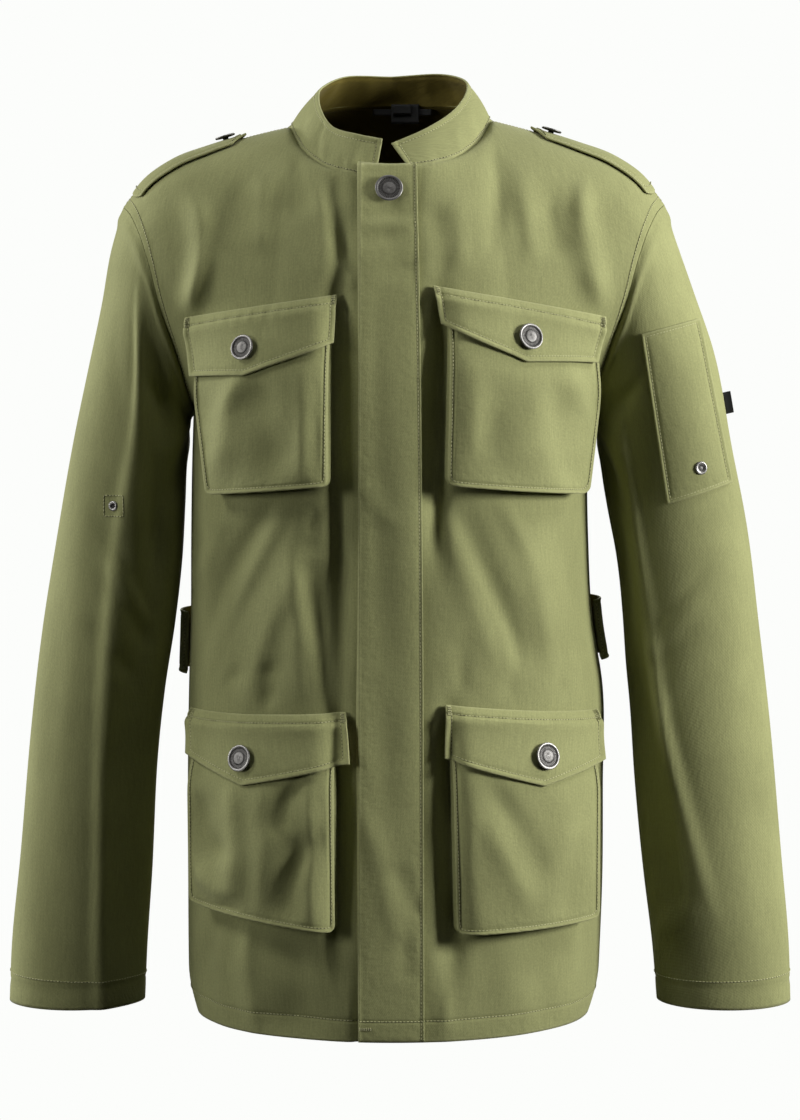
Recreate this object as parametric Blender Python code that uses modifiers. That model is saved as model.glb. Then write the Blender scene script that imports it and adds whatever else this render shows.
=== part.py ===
"""Chef jacket, filled out as worn: a stand-collar jacket with a fly front.

Metres, +Z up.  The front faces -Y and the wearer's left is +X.  The origin is at
the middle of the neck opening, level with the side of the neck.  Every panel is an
open surface worked out from rings and seam lines, given its wall by Solidify.  What
lies on a panel (fly, pockets, flaps, straps, tabs) is made from the panel's own
points, moved out along its normal.
"""
import math
from collections import namedtuple

import bpy
import numpy as np
from mathutils import Matrix

# ---------------------------------------------------------------- named sizes
TWILL = 0.0012          # one layer of cotton twill
DOUBLE = 0.0018         # two layers, turned and pressed
GAP = 0.0007            # between pieces that are sewn edge to edge
ARM_GAP = 0.0014        # round the armhole, where two walls meet at an angle
HEM_Z = -0.745
ARMPIT_Z = -0.2383
SIDE_Y = 0.003          # the side seams hang here
LOWER_ROWS = 12         # rows of a panel below the armpit
UPPER_ROWS = 10         # rows of a panel beside the armhole
LOWER = 0.55            # share of the panel's height parameter below the armpit
NECK_SHARE = 0.40       # share of the panel's width that ends on the neckline
COLUMNS = (0.0, 0.09, 0.15, 0.21, 0.27, 0.335, 0.40, 0.47, 0.54, 0.61, 0.68, 0.75, 0.82, 0.88,
           0.94, 1.0)    # shares across a panel, closer beside the fly
FLY_LAP = 0.088         # how far each front runs on past the centre, as a share
LIE_GAP = 0.0012        # a flap's inner face off the panel at its seam
RIM_GAP = 0.0018        # a bag's gusset edge off the panel
LAP_STEP = 0.0034       # the under front lies this much further in at the lap

# ---------------------------------------------------------------- tables
# rings of the body at a height z; "right" and "left" are the wearer's
BodyRing = namedtuple("BodyRing", "z half_right half_left y_front y_back square")
BODY = [
    BodyRing(-0.745, 0.1728, 0.1745, -0.1385, 0.1240, 2.12),
    BodyRing(-0.699, 0.1732, 0.1765, -0.1385, 0.1245, 2.12),
    BodyRing(-0.638, 0.1732, 0.1785, -0.1370, 0.1230, 2.12),
    BodyRing(-0.557, 0.1730, 0.1785, -0.1345, 0.1190, 2.14),
    BodyRing(-0.470, 0.1713, 0.1775, -0.1310, 0.1140, 2.16),
    BodyRing(-0.417, 0.1695, 0.1690, -0.1290, 0.1110, 2.18),
    BodyRing(-0.347, 0.1687, 0.1648, -0.1285, 0.1130, 2.18),
    BodyRing(-0.288, 0.1676, 0.1637, -0.1290, 0.1200, 2.16),
    BodyRing(-0.238, 0.1659, 0.1649, -0.1290, 0.1250, 2.14),
]
# how far the middle of the front and back lies from the Y axis above the armpit
Centre = namedtuple("Centre", "z y")
CENTRE = {
    "front": [Centre(-0.2383, -0.1290), Centre(-0.1990, -0.1275), Centre(-0.1598, -0.1225),
              Centre(-0.1207, -0.1135), Centre(-0.0866, -0.1010), Centre(-0.0622, -0.0905),
              Centre(-0.0428, -0.0830)],
    "back": [Centre(-0.2383, 0.1250), Centre(-0.1794, 0.1270), Centre(-0.1207, 0.1220),
             Centre(-0.0719, 0.1080), Centre(-0.0282, 0.0860), Centre(0.0134, 0.0610)],
}
# neckline from the centre (share 0) to the shoulder seam (share 1)
Edge = namedtuple("Edge", "share x y z")
NECKLINE = {
    ("right", "front"): [Edge(0.00, 0.0000, -0.0868, -0.0525), Edge(0.25, 0.0322, -0.0815, -0.0482),
                    Edge(0.50, 0.0560, -0.0640, -0.0404), Edge(0.75, 0.0745, -0.0345, -0.0254),
                    Edge(1.00, 0.0856, 0.0030, -0.0060)],
    ("left", "front"): [Edge(0.00, 0.0000, -0.0830, -0.0428), Edge(0.25, 0.0312, -0.0785, -0.0401),
                    Edge(0.50, 0.0545, -0.0615, -0.0331), Edge(0.75, 0.0725, -0.0340, -0.0186),
                    Edge(1.00, 0.0832, 0.0030, -0.0007)],
    ("right", "back"): [Edge(0.00, 0.0000, 0.0610, 0.0134), Edge(0.25, 0.0311, 0.0580, 0.0126),
                    Edge(0.50, 0.0583, 0.0490, 0.0095), Edge(0.75, 0.0778, 0.0300, 0.0027),
                    Edge(1.00, 0.0856, 0.0030, -0.0060)],
    ("left", "back"): [Edge(0.00, 0.0000, 0.0610, 0.0134), Edge(0.25, 0.0306, 0.0580, 0.0132),
                    Edge(0.50, 0.0574, 0.0490, 0.0114), Edge(0.75, 0.0759, 0.0300, 0.0066),
                    Edge(1.00, 0.0832, 0.0030, -0.0007)],
}
# shoulder seam from the neck (share 0) to the tip (share 1)
SHOULDER = {
    "right": [Edge(0.00, 0.0856, 0.0030, -0.0060), Edge(0.25, 0.1178, 0.0030, -0.0137),
             Edge(0.50, 0.1515, 0.0030, -0.0240), Edge(0.70, 0.1815, 0.0030, -0.0355),
             Edge(0.85, 0.2045, 0.0030, -0.0500), Edge(1.00, 0.2235, 0.0030, -0.0715)],
    "left": [Edge(0.00, 0.0832, 0.0030, -0.0007), Edge(0.25, 0.1177, 0.0030, -0.0098),
            Edge(0.50, 0.1530, 0.0030, -0.0210), Edge(0.70, 0.1850, 0.0030, -0.0330),
            Edge(0.85, 0.2080, 0.0030, -0.0475), Edge(1.00, 0.2268, 0.0030, -0.0695)],
}
# armhole from the armpit (share 0) to the shoulder tip (share 1); x is for the right
# side, the left side's tip is a little further out
ARMHOLE = {
    "front": [Edge(0.00, 0.1659, 0.0030, -0.2383), Edge(0.13, 0.1673, -0.0170, -0.2295),
             Edge(0.32, 0.1754, -0.0380, -0.1951), Edge(0.52, 0.1878, -0.0490, -0.1539),
             Edge(0.70, 0.1964, -0.0470, -0.1177), Edge(0.86, 0.2059, -0.0330, -0.0904),
             Edge(0.95, 0.2136, -0.0150, -0.0773), Edge(1.00, 0.2194, 0.0030, -0.0724)],
    "back": [Edge(0.00, 0.1659, 0.0030, -0.2383), Edge(0.13, 0.1668, 0.0250, -0.2275),
            Edge(0.32, 0.1724, 0.0470, -0.1921), Edge(0.52, 0.1810, 0.0580, -0.1519),
            Edge(0.70, 0.1905, 0.0560, -0.1158), Edge(0.86, 0.2030, 0.0410, -0.0885),
            Edge(0.95, 0.2127, 0.0210, -0.0768), Edge(1.00, 0.2194, 0.0030, -0.0724)],
}
# sleeve: the under line and the outer line seen from the front, and the half depths
SleeveRow = namedtuple("SleeveRow", "v x_in z_in x_out z_out y fore aft")
SLEEVE = {
    "right": [
        SleeveRow(0.00, 0.1683, -0.2398, 0.2235, -0.0715, 0.004, 0.050, 0.056),
        SleeveRow(0.08, 0.1714, -0.2600, 0.2345, -0.1095, 0.003, 0.052, 0.057),
        SleeveRow(0.16, 0.1731, -0.2876, 0.2415, -0.1500, 0.002, 0.053, 0.057),
        SleeveRow(0.27, 0.1741, -0.3223, 0.2530, -0.2049, 0.000, 0.053, 0.056),
        SleeveRow(0.38, 0.1765, -0.3670, 0.2668, -0.2699, -0.002, 0.052, 0.054),
        SleeveRow(0.50, 0.1828, -0.4208, 0.2803, -0.3431, -0.004, 0.050, 0.052),
        SleeveRow(0.62, 0.1916, -0.4768, 0.2935, -0.4218, -0.006, 0.049, 0.050),
        SleeveRow(0.74, 0.1985, -0.5421, 0.3044, -0.5099, -0.007, 0.047, 0.048),
        SleeveRow(0.86, 0.2032, -0.6331, 0.3146, -0.6179, -0.008, 0.046, 0.046),
        SleeveRow(0.94, 0.2077, -0.6951, 0.3224, -0.6900, -0.008, 0.045, 0.045),
        SleeveRow(1.00, 0.2100, -0.7400, 0.3250, -0.7400, -0.008, 0.045, 0.044)],
    "left": [
        SleeveRow(0.00, 0.1673, -0.2398, 0.2268, -0.0695, 0.004, 0.050, 0.056),
        SleeveRow(0.08, 0.1724, -0.2600, 0.2395, -0.1080, 0.003, 0.052, 0.057),
        SleeveRow(0.16, 0.1750, -0.2847, 0.2535, -0.1480, 0.002, 0.053, 0.057),
        SleeveRow(0.27, 0.1802, -0.3223, 0.2718, -0.2039, 0.000, 0.053, 0.056),
        SleeveRow(0.38, 0.1874, -0.3670, 0.2840, -0.2689, -0.002, 0.052, 0.054),
        SleeveRow(0.50, 0.1932, -0.4208, 0.2985, -0.3421, -0.004, 0.050, 0.052),
        SleeveRow(0.62, 0.1981, -0.4768, 0.3088, -0.4218, -0.006, 0.049, 0.050),
        SleeveRow(0.74, 0.2035, -0.5421, 0.3193, -0.5099, -0.007, 0.047, 0.048),
        SleeveRow(0.86, 0.2132, -0.6331, 0.3295, -0.6179, -0.008, 0.046, 0.046),
        SleeveRow(0.94, 0.2211, -0.6951, 0.3364, -0.6900, -0.008, 0.045, 0.045),
        SleeveRow(1.00, 0.2250, -0.7400, 0.3385, -0.7400, -0.008, 0.045, 0.044)],
}
SLEEVE_COLUMNS = 20
SLEEVE_ROWS = 19
# top edge of the collar, from the middle of the back (share 0) to its front end
COLLAR_TOP = {
    "right": [Edge(0.00, 0.0000, 0.0520, 0.0398), Edge(0.20, 0.0400, 0.0450, 0.0392),
             Edge(0.35, 0.0564, 0.0270, 0.0307), Edge(0.50, 0.0607, 0.0070, 0.0216),
             Edge(0.62, 0.0579, -0.0180, 0.0075), Edge(0.75, 0.0477, -0.0430, -0.0079),
             Edge(0.88, 0.0282, -0.0625, -0.0147), Edge(1.00, 0.0072, -0.0705, -0.0192)],
    "left": [Edge(0.00, 0.0000, 0.0520, 0.0398), Edge(0.20, 0.0405, 0.0450, 0.0415),
            Edge(0.35, 0.0573, 0.0270, 0.0370), Edge(0.50, 0.0627, 0.0070, 0.0293),
            Edge(0.62, 0.0588, -0.0180, 0.0172), Edge(0.75, 0.0467, -0.0430, 0.0027),
            Edge(0.88, 0.0253, -0.0625, -0.0113), Edge(1.00, -0.0008, -0.0710, -0.0230)],
}
COLLAR_BACK_SHARE = 0.42       # of each half lies on the back neckline
COLLAR_END = {"right": 0.095, "left": 0.100}   # neckline share where each end stops
COLLAR_ROWS = 4
COLLAR_LIFT = 0.0010           # its foot above the neckline
COLLAR_ROLL = 0.0022           # how far its middle stands out
# the largest folds of the fronts: a line from (x0, z0) to (x1, z1), troughs negative
Fold = namedtuple("Fold", "x0 z0 x1 z1 width height")
FOLDS = [
    Fold(-0.040, -0.111, -0.041, -0.427, 0.011, -0.0065),
    Fold(-0.041, -0.467, -0.041, -0.690, 0.010, -0.0050),
    Fold(0.037, -0.160, 0.036, -0.357, 0.010, -0.0065),
    Fold(0.046, -0.477, 0.048, -0.690, 0.010, -0.0045),
    Fold(-0.089, -0.327, -0.149, -0.467, 0.011, -0.0050),
    Fold(-0.065, -0.342, -0.121, -0.477, 0.012, 0.0035),
    Fold(0.069, -0.367, 0.119, -0.447, 0.014, -0.0030),
]
# fly: its two edges seen from the front, at a height
FlyRow = namedtuple("FlyRow", "z x_free x_sewn")
FLY = [FlyRow(-0.7440, -0.0268, 0.0262), FlyRow(-0.4000, -0.0266, 0.0250),
       FlyRow(-0.1500, -0.0262, 0.0225), FlyRow(-0.0405, -0.0255, 0.0205)]
# pockets: corners of the bag's face and of the flap, as panel points (x, z)
Bag = namedtuple("Bag", "side top_in top_out low_in low_out corner")
BAGS = {
    "chest_pocket_right": Bag("right", (-0.0467, -0.1598), (-0.1541, -0.1750),
                              (-0.0479, -0.2965), (-0.1399, -0.3066), 0.006),
    "chest_pocket_left": Bag("left", (0.0445, -0.1542), (0.1640, -0.1749),
                             (0.0415, -0.2957), (0.1489, -0.3071), 0.008),
    "lower_pocket_right": Bag("right", (-0.0439, -0.4926), (-0.1560, -0.4998),
                              (-0.0428, -0.6558), (-0.1550, -0.6430), 0.006),
    "lower_pocket_left": Bag("left", (0.0454, -0.4861), (0.1590, -0.4990),
                             (0.0494, -0.6568), (0.1590, -0.6560), 0.006),
}
Flap = namedtuple("Flap", "side top_in top_out low_in low_out point")
FLAPS = {
    "chest_flap_right": Flap("right", (-0.0423, -0.1447), (-0.1668, -0.1623),
                             (-0.0431, -0.1843), (-0.1510, -0.2084), (-0.1087, -0.2094)),
    "chest_flap_left": Flap("left", (0.0327, -0.1377), (0.1732, -0.1614),
                            (0.0374, -0.1697), (0.1571, -0.1969), (0.0997, -0.1988)),
    "lower_flap_right": Flap("right", (-0.0358, -0.4776), (-0.1640, -0.4850),
                             (-0.0321, -0.5184), (-0.1578, -0.5212), (-0.1111, -0.5391)),
    "lower_flap_left": Flap("left", (0.0424, -0.4711), (0.1670, -0.4850),
                            (0.0409, -0.5147), (0.1630, -0.5254), (0.1140, -0.5392)),
}
BAG_MOUTH = 0.0060      # how far a bag's face stands off at its top
BAG_DEPTH = 0.0150      # and lower down
# buttons: the piece each sits on and its place seen from the front
Button = namedtuple("Button", "on x z radius")
BUTTONS = {
    "button_neck": Button("fly", -0.0023, -0.0622, 0.0112),
    "button_chest_right": Button("chest_flap_right", -0.1109, -0.1879, 0.0103),
    "button_chest_left": Button("chest_flap_left", 0.1039, -0.1796, 0.0106),
    "button_lower_right": Button("lower_flap_right", -0.1135, -0.5177, 0.0108),
    "button_lower_left": Button("lower_flap_left", 0.1167, -0.5156, 0.0110),
}
# shoulder straps: from the armhole seam to the pointed end near the neck
Strap = namedtuple("Strap", "share half lift")
STRAP = [Strap(0.00, 0.0235, 0.0012), Strap(0.12, 0.0230, 0.0026), Strap(0.35, 0.0222, 0.0042),
         Strap(0.65, 0.0215, 0.0036), Strap(0.86, 0.0210, 0.0030), Strap(1.00, 0.0010, 0.0036)]
STRAP_TRIM = 0.0100     # the sewn end follows the armhole, this much at its corners
STRAP_SPAN = {"right": (0.2150, 0.1190), "left": (0.2180, 0.1130)}   # |x| of its two ends
STRAP_BUTTON = {"right": 0.1370, "left": 0.1310}
# waist tabs at the side seams: height range and how far they bow out
Tab = namedtuple("Tab", "z_top z_low y_front y_back bow")
TABS = {"right": Tab(-0.4093, -0.4622, -0.010, 0.052, 0.0085),
        "left": Tab(-0.3992, -0.4504, -0.010, 0.052, 0.0115)}
# patch pocket on the wearer's left sleeve, corners seen from the front
SLEEVE_PATCH = ((0.2037, -0.1767), (0.2525, -0.1644), (0.2261, -0.3166), (0.2807, -0.2997))
SLEEVE_SNAP = (0.2524, -0.2866)
SLEEVE_STUD = (-0.2288, -0.3175)

COLOURS = {"twill": "7f814f", "metal": "8d8c88", "black": "15150f"}


# ---------------------------------------------------------------- small maths
def column(rows, field, at):
    """One named column of a table, smoothly between its rows (cubic Hermite)."""
    rows = sorted(rows, key=lambda row: row[0])
    keys = np.array([row[0] for row in rows], float)
    values = np.array([getattr(row, field) for row in rows], float)
    slopes = np.gradient(values, keys)
    at = np.clip(np.asarray(at, float), keys[0], keys[-1])
    i = np.clip(np.searchsorted(keys, at, side="right") - 1, 0, len(keys) - 2)
    h = keys[i + 1] - keys[i]
    u = (at - keys[i]) / h
    return ((2 * u ** 3 - 3 * u ** 2 + 1) * values[i] + (u ** 3 - 2 * u ** 2 + u) * h * slopes[i]
            + (3 * u ** 2 - 2 * u ** 3) * values[i + 1] + (u ** 3 - u ** 2) * h * slopes[i + 1])


def place(rows, at):
    """The x, y and z columns of a table at the same shares."""
    return np.stack([column(rows, axis, at) for axis in "xyz"], axis=-1)


def ease(value):
    """Smooth step from 0 to 1."""
    value = np.clip(value, 0.0, 1.0)
    return value * value * (3 - 2 * value)


def unit(vectors):
    """Vectors of length one."""
    return vectors / np.maximum(np.linalg.norm(vectors, axis=-1, keepdims=True), 1e-12)


def side_sign(side):
    """-1 for the wearer's right, +1 for the left."""
    return 1.0 if side == "left" else -1.0


# ---------------------------------------------------------------- the body's surface
def fold_height(x, z):
    """Height of the front's folds at a place seen from the front; troughs are negative."""
    total = np.zeros(np.broadcast(x, z).shape)
    for fold in FOLDS:
        dx, dz = fold.x1 - fold.x0, fold.z1 - fold.z0
        length = math.hypot(dx, dz)
        along = ((x - fold.x0) * dx + (z - fold.z0) * dz) / length ** 2
        across = ((x - fold.x0) * dz - (z - fold.z0) * dx) / length
        ends = ease((along + 0.18) / 0.30) * ease((1.18 - along) / 0.30)
        total = total + fold.height * ends * np.exp(-(across / fold.width) ** 2)
    return total


def body_ring(side, face, z, s):
    """Ring of the body: s is 0 at the centre line and 1 at the side seam."""
    half = column(BODY, "half_" + side, z)
    depth = column(BODY, "y_" + face, z)
    power = 2.0 / column(BODY, "square", z)
    angle = np.abs(s) * math.pi / 2
    x = np.sign(s) * half * np.sin(angle) ** power
    y = SIDE_Y + (depth - SIDE_Y) * np.maximum(np.cos(angle), 0.0) ** power
    return np.stack([x, y, z + 0 * s], axis=-1)


def top_edge(side, face, s):
    """Neckline, then shoulder seam, at a share of the panel's width."""
    a = np.abs(s)
    neck = place(NECKLINE[side, face], a / NECK_SHARE)
    seam = place(SHOULDER[side], (a - NECK_SHARE) / (1 - NECK_SHARE))
    edge = np.where((a < NECK_SHARE)[..., None], neck, seam)
    edge[..., 0] *= np.where(s < 0, -1.0, 1.0)
    return edge


def armhole(side, face, share):
    """Armhole line, moved so that its top meets the shoulder seam's tip."""
    line = place(ARMHOLE[face], share)
    tip = place(SHOULDER[side], 1.0)
    foot = body_ring(side, face, np.array(ARMPIT_Z), np.array(1.0))
    rows = ARMHOLE[face]
    up = np.asarray(share)[..., None]
    return (line + up * (tip - place(rows, 1.0)) + (1 - up) * (foot - place(rows, 0.0)))


def panel(side, face, s, t, folded=True):
    """Point of a front or back: s across (0 centre, 1 side seam), t up (0 hem, 1 top).

    Below the armpit the rows are rings.  Above it each row blends from the ring at
    the armpit to the neckline and shoulder seam, on a quarter ellipse, and is drawn
    to the centre line on one side and to the armhole on the other.
    """
    s, t = np.broadcast_arrays(np.asarray(s, float), np.asarray(t, float))
    low = body_ring(side, face, HEM_Z + (ARMPIT_Z - HEM_Z) * np.clip(t / LOWER, 0, 1), s)
    tau = np.clip((t - LOWER) / (1 - LOWER), 0, 1)
    w, rise = np.sin(tau * math.pi / 2), 1 - np.cos(tau * math.pi / 2)

    def blend(at):
        bottom, top = body_ring(side, face, np.full(at.shape, ARMPIT_Z), at), top_edge(side, face, at)
        mixed = bottom * (1 - w)[..., None] + top * w[..., None]
        mixed[..., 1] = bottom[..., 1] * (1 - rise) + top[..., 1] * rise
        return mixed

    base, centre, outer = blend(s), blend(np.zeros_like(s)), blend(np.ones_like(s))
    wanted = centre.copy()
    wanted[..., 1] = column(CENTRE[face], "y", centre[..., 2])
    high = (base + (wanted - centre) * ((1 - np.clip(np.abs(s), 0, 1)) ** 2)[..., None]
            + (armhole(side, face, w) - outer) * (np.clip(np.abs(s), 0, 1) ** 2.2)[..., None])
    points = np.where((t <= LOWER)[..., None], low, high)
    points[..., 0] *= side_sign(side)
    if folded and face == "front":
        calm = (1 - np.clip(np.abs(s), 0, 1) ** 8) * (1 - ease((tau - 0.6) / 0.4))
        points[..., 1] -= fold_height(points[..., 0], points[..., 2]) * calm
    return points


def normal_of(surface, u, v, inside):
    """Unit normals of a surface function, pointing away from the inside point."""
    e = 2e-4
    du = surface(u + e, v) - surface(u - e, v)
    dv = surface(u, v + e) - surface(u, v - e)
    n = unit(np.cross(du, dv))
    away = surface(u, v) - inside
    return n * np.where(np.sum(n * away, axis=-1, keepdims=True) < 0, -1.0, 1.0)


def locate(surface, guess, target, axes=(0, 2)):
    """Parameters (u, v) where a surface has the wanted two coordinates (Newton)."""
    u, v = (np.array(g, float) for g in np.broadcast_arrays(*guess))
    u, v = u * np.ones(target.shape[:-1]), v * np.ones(target.shape[:-1])
    axes, e = list(axes), 1e-4
    for _ in range(30):
        here = surface(u, v)[..., axes]
        a = (surface(u + e, v)[..., axes] - surface(u - e, v)[..., axes]) / (2 * e)
        b = (surface(u, v + e)[..., axes] - surface(u, v - e)[..., axes]) / (2 * e)
        miss = target - here
        det = a[..., 0] * b[..., 1] - a[..., 1] * b[..., 0]
        det = np.where(np.abs(det) < 1e-9, 1e-9, det)
        u = u + np.clip((miss[..., 0] * b[..., 1] - miss[..., 1] * b[..., 0]) / det, -0.08, 0.08)
        v = v + np.clip((a[..., 0] * miss[..., 1] - a[..., 1] * miss[..., 0]) / det, -0.08, 0.08)
    return u, v


GRIDS = {}


def cloth_point(side, s, t):
    """Point of a front's own mesh at (s, t), between the rows and columns it is built on."""
    if side not in GRIDS:
        s_keys, t_keys = np.array((-FLY_LAP,) + COLUMNS), panel_rows()
        GRIDS[side] = s_keys, t_keys, panel(side, "front", *np.meshgrid(s_keys, t_keys))
    s_keys, t_keys, grid = GRIDS[side]
    i = np.clip(np.searchsorted(s_keys, s, side="right") - 1, 0, len(s_keys) - 2)
    j = np.clip(np.searchsorted(t_keys, t, side="right") - 1, 0, len(t_keys) - 2)
    a = ((s - s_keys[i]) / (s_keys[i + 1] - s_keys[i]))[..., None]
    b = ((t - t_keys[j]) / (t_keys[j + 1] - t_keys[j]))[..., None]
    return ((1 - a) * (1 - b) * grid[j, i] + a * (1 - b) * grid[j, i + 1]
            + (1 - a) * b * grid[j + 1, i] + a * b * grid[j + 1, i + 1])


def on_front(side, x, z, out):
    """Points over a front at (x, z), moved out by a distance along its smooth normal."""
    x, z, out = (np.asarray(a, float) for a in np.broadcast_arrays(x, z, out))

    def smooth(u, v):
        return panel(side, "front", u, v, folded=False)

    t0 = np.where(z < ARMPIT_Z, LOWER * (z - HEM_Z) / (ARMPIT_Z - HEM_Z),
                  LOWER + (1 - LOWER) * 0.6 * (z - ARMPIT_Z) / 0.2)
    s0 = np.arcsin(np.clip(side_sign(side) * x / 0.19, -0.95, 0.95)) * 2 / math.pi
    s, t = locate(smooth, (s0, t0), np.stack([x, z], axis=-1))
    base = cloth_point(side, s, np.clip(t, 0, 1))
    inside = np.array([0.0, 0.0, 0.0]) + np.stack([0 * x, 0 * x, z - 0.02], axis=-1)
    return base + normal_of(smooth, s, np.clip(t, 0.001, 0.999), inside) * out[..., None]


# ---------------------------------------------------------------- making objects
def linear(hex_colour):
    """A hex sRGB colour as linear RGBA."""
    parts = [int(hex_colour[i:i + 2], 16) / 255 for i in (0, 2, 4)]
    return [c / 12.92 if c <= 0.04045 else ((c + 0.055) / 1.055) ** 2.4 for c in parts] + [1.0]


def material(name, colour, roughness, metallic=0.0):
    """A Principled material."""
    made = bpy.data.materials.new(name)
    made.use_nodes = True
    shader = made.node_tree.nodes["Principled BSDF"]
    shader.inputs["Base Color"].default_value = linear(COLOURS[colour])
    shader.inputs["Roughness"].default_value = roughness
    shader.inputs["Metallic"].default_value = metallic
    made.diffuse_color = linear(COLOURS[colour])
    return made


def add_object(name, mesh, finish, collection, parent=None):
    """An object in the jacket's collection with its own material."""
    made = bpy.data.objects.new(name, mesh)
    mesh.materials.append(finish)
    collection.objects.link(made)
    made.parent = parent
    return made


def cloth(name, grid, wall, collection, colour="twill", roll=False, parent=None, outside=None):
    """A cloth piece: a grid of points as an open surface, with its wall from Solidify.

    grid is rows x columns x 3 on the piece's outer face.  roll closes the columns
    into a tube.  outside holds a direction for each row and column that points out
    of the cloth, by which the faces are turned.
    """
    rows, columns = grid.shape[:2]
    cells = columns if roll else columns - 1
    index = np.arange(rows * columns).reshape(rows, columns)
    near = index[:-1, :cells]
    far = np.roll(index, -1, axis=1)[:-1, :cells]
    up_near = index[1:, :cells]
    up_far = np.roll(index, -1, axis=1)[1:, :cells]
    faces = np.stack([near, far, up_far, up_near], axis=-1).reshape(-1, 4)
    points = grid.reshape(-1, 3)
    across = points[faces[:, 2]] - points[faces[:, 0]]
    along = points[faces[:, 3]] - points[faces[:, 1]]
    facing = np.cross(across, along)
    out = np.broadcast_to(outside, grid.shape).reshape(-1, 3)[faces[:, 0]]
    if np.sum(facing * out) < 0:
        faces = faces[:, ::-1]
    mesh = bpy.data.meshes.new(name)
    mesh.from_pydata(points.tolist(), [], faces.tolist())
    mesh.shade_smooth()
    made = add_object(name, mesh, material(name + "_cloth", colour, 0.85), collection, parent)
    shell = made.modifiers.new("wall", "SOLIDIFY")
    shell.thickness = wall
    shell.offset = -1.0
    shell.use_even_offset = True
    shell.use_rim = True
    return made


def turned(name, profile, steps, collection, at, facing, colour="metal", parent=None):
    """A turned metal piece: a profile (radius, height) from the top down, and a Screw."""
    mesh = bpy.data.meshes.new(name)
    mesh.from_pydata([(r, 0.0, h) for r, h in profile], [(i, i + 1) for i in range(len(profile) - 1)], [])
    made = add_object(name, mesh, material(name + "_finish", colour, 0.38, 0.9), collection, parent)
    spin = made.modifiers.new("turn", "SCREW")
    spin.steps = spin.render_steps = steps
    spin.use_merge_vertices = True
    spin.merge_threshold = 0.00005
    spin.use_smooth_shade = True
    made.location = at
    z = unit(np.asarray(facing, float))
    helper = np.array([0.0, 0.0, 1.0]) if abs(z[2]) < 0.9 else np.array([0.0, 1.0, 0.0])
    x = unit(np.cross(helper, z))
    y = np.cross(z, x)
    turn = [[float(x[i]), float(y[i]), float(z[i])] for i in range(3)]
    made.rotation_mode = "QUATERNION"
    made.rotation_quaternion = Matrix(turn).to_quaternion()
    return made


# ---------------------------------------------------------------- panels
def panel_rows():
    """Shares up a panel, closer together over the shoulder."""
    low = np.linspace(0, LOWER, LOWER_ROWS + 1)[:-1]
    return np.concatenate([low, np.linspace(LOWER, 1, UPPER_ROWS + 1)])


def seam_inset(points, across_axis):
    """Pull the first and last column in by half a seam gap along the rows."""
    inward = unit(points[:, 1] - points[:, 0]), unit(points[:, -2] - points[:, -1])
    points = points.copy()
    points[:, 0] += inward[0] * GAP * across_axis[0]
    points[:, -1] += inward[1] * GAP * across_axis[1]
    return points


def make_front(side, collection, parent):
    """One front, from its lap past the centre to the side seam and armhole."""
    s = np.array((-FLY_LAP,) + COLUMNS)
    s_grid, t_grid = np.meshgrid(s, panel_rows())
    grid = panel(side, "front", s_grid, t_grid)
    if side == "right":
        grid[..., 1] += LAP_STEP * ease((grid[..., 0] + 0.0345) / 0.0085)
    grid = seam_inset(grid, (0.0, 1.0))
    top = unit(grid[-2] - grid[-1])
    seam = np.abs(s) >= NECK_SHARE - 1e-6
    grid[-1, seam] += (top * GAP)[seam]
    return cloth("front_" + side, grid, TWILL, collection, parent=parent, outside=(0, -1, 0.2))


def make_back(collection, parent):
    """The back, one width from side seam to side seam."""
    s = np.array(COLUMNS[1:])
    halves = []
    for side in ("right", "left"):
        s_grid, t_grid = np.meshgrid(s, panel_rows())
        halves.append(panel(side, "back", s_grid, t_grid))
    middle = panel("left", "back", np.zeros((len(panel_rows()), 1)), panel_rows()[:, None])
    middle[..., 0] = 0.0
    grid = np.concatenate([halves[0][:, ::-1], middle, halves[1]], axis=1)
    grid = seam_inset(grid, (1.0, 1.0))
    width = np.concatenate([s[::-1], [0.0], s])
    seam = width >= NECK_SHARE - 1e-6
    top = unit(grid[-2] - grid[-1])
    grid[-1, seam] += (top * GAP)[seam]
    return cloth("back", grid, TWILL, collection, parent=parent, outside=(0, 1, 0.2))


def make_fly(collection, parent):
    """The fly strip over the lap of both fronts, neck to hem."""
    z = np.linspace(FLY[0].z, FLY[-1].z, 30)
    share = np.linspace(0, 1, 7)
    free, sewn = column(FLY, "x_free", z)[:, None], column(FLY, "x_sewn", z)[:, None]
    x = free + (sewn - free) * share
    grid = fly_points(x, z[:, None] + 0 * x, GAP + 0.0006 + DOUBLE)
    return cloth("placket", grid, DOUBLE, collection, parent=parent, outside=(0, -1, 0))


def fly_points(x, z, out):
    """Points over the lap; above the neckline the strip runs straight on."""
    x, z = np.broadcast_arrays(x, z)
    limit = -0.050
    base = on_front("left", x, np.minimum(z, limit), out)
    below = on_front("left", x, np.minimum(z, limit) - 0.006, out)
    slope = (base - below) / 0.006
    return base + slope * np.maximum(z - limit, 0.0)[..., None]


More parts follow.
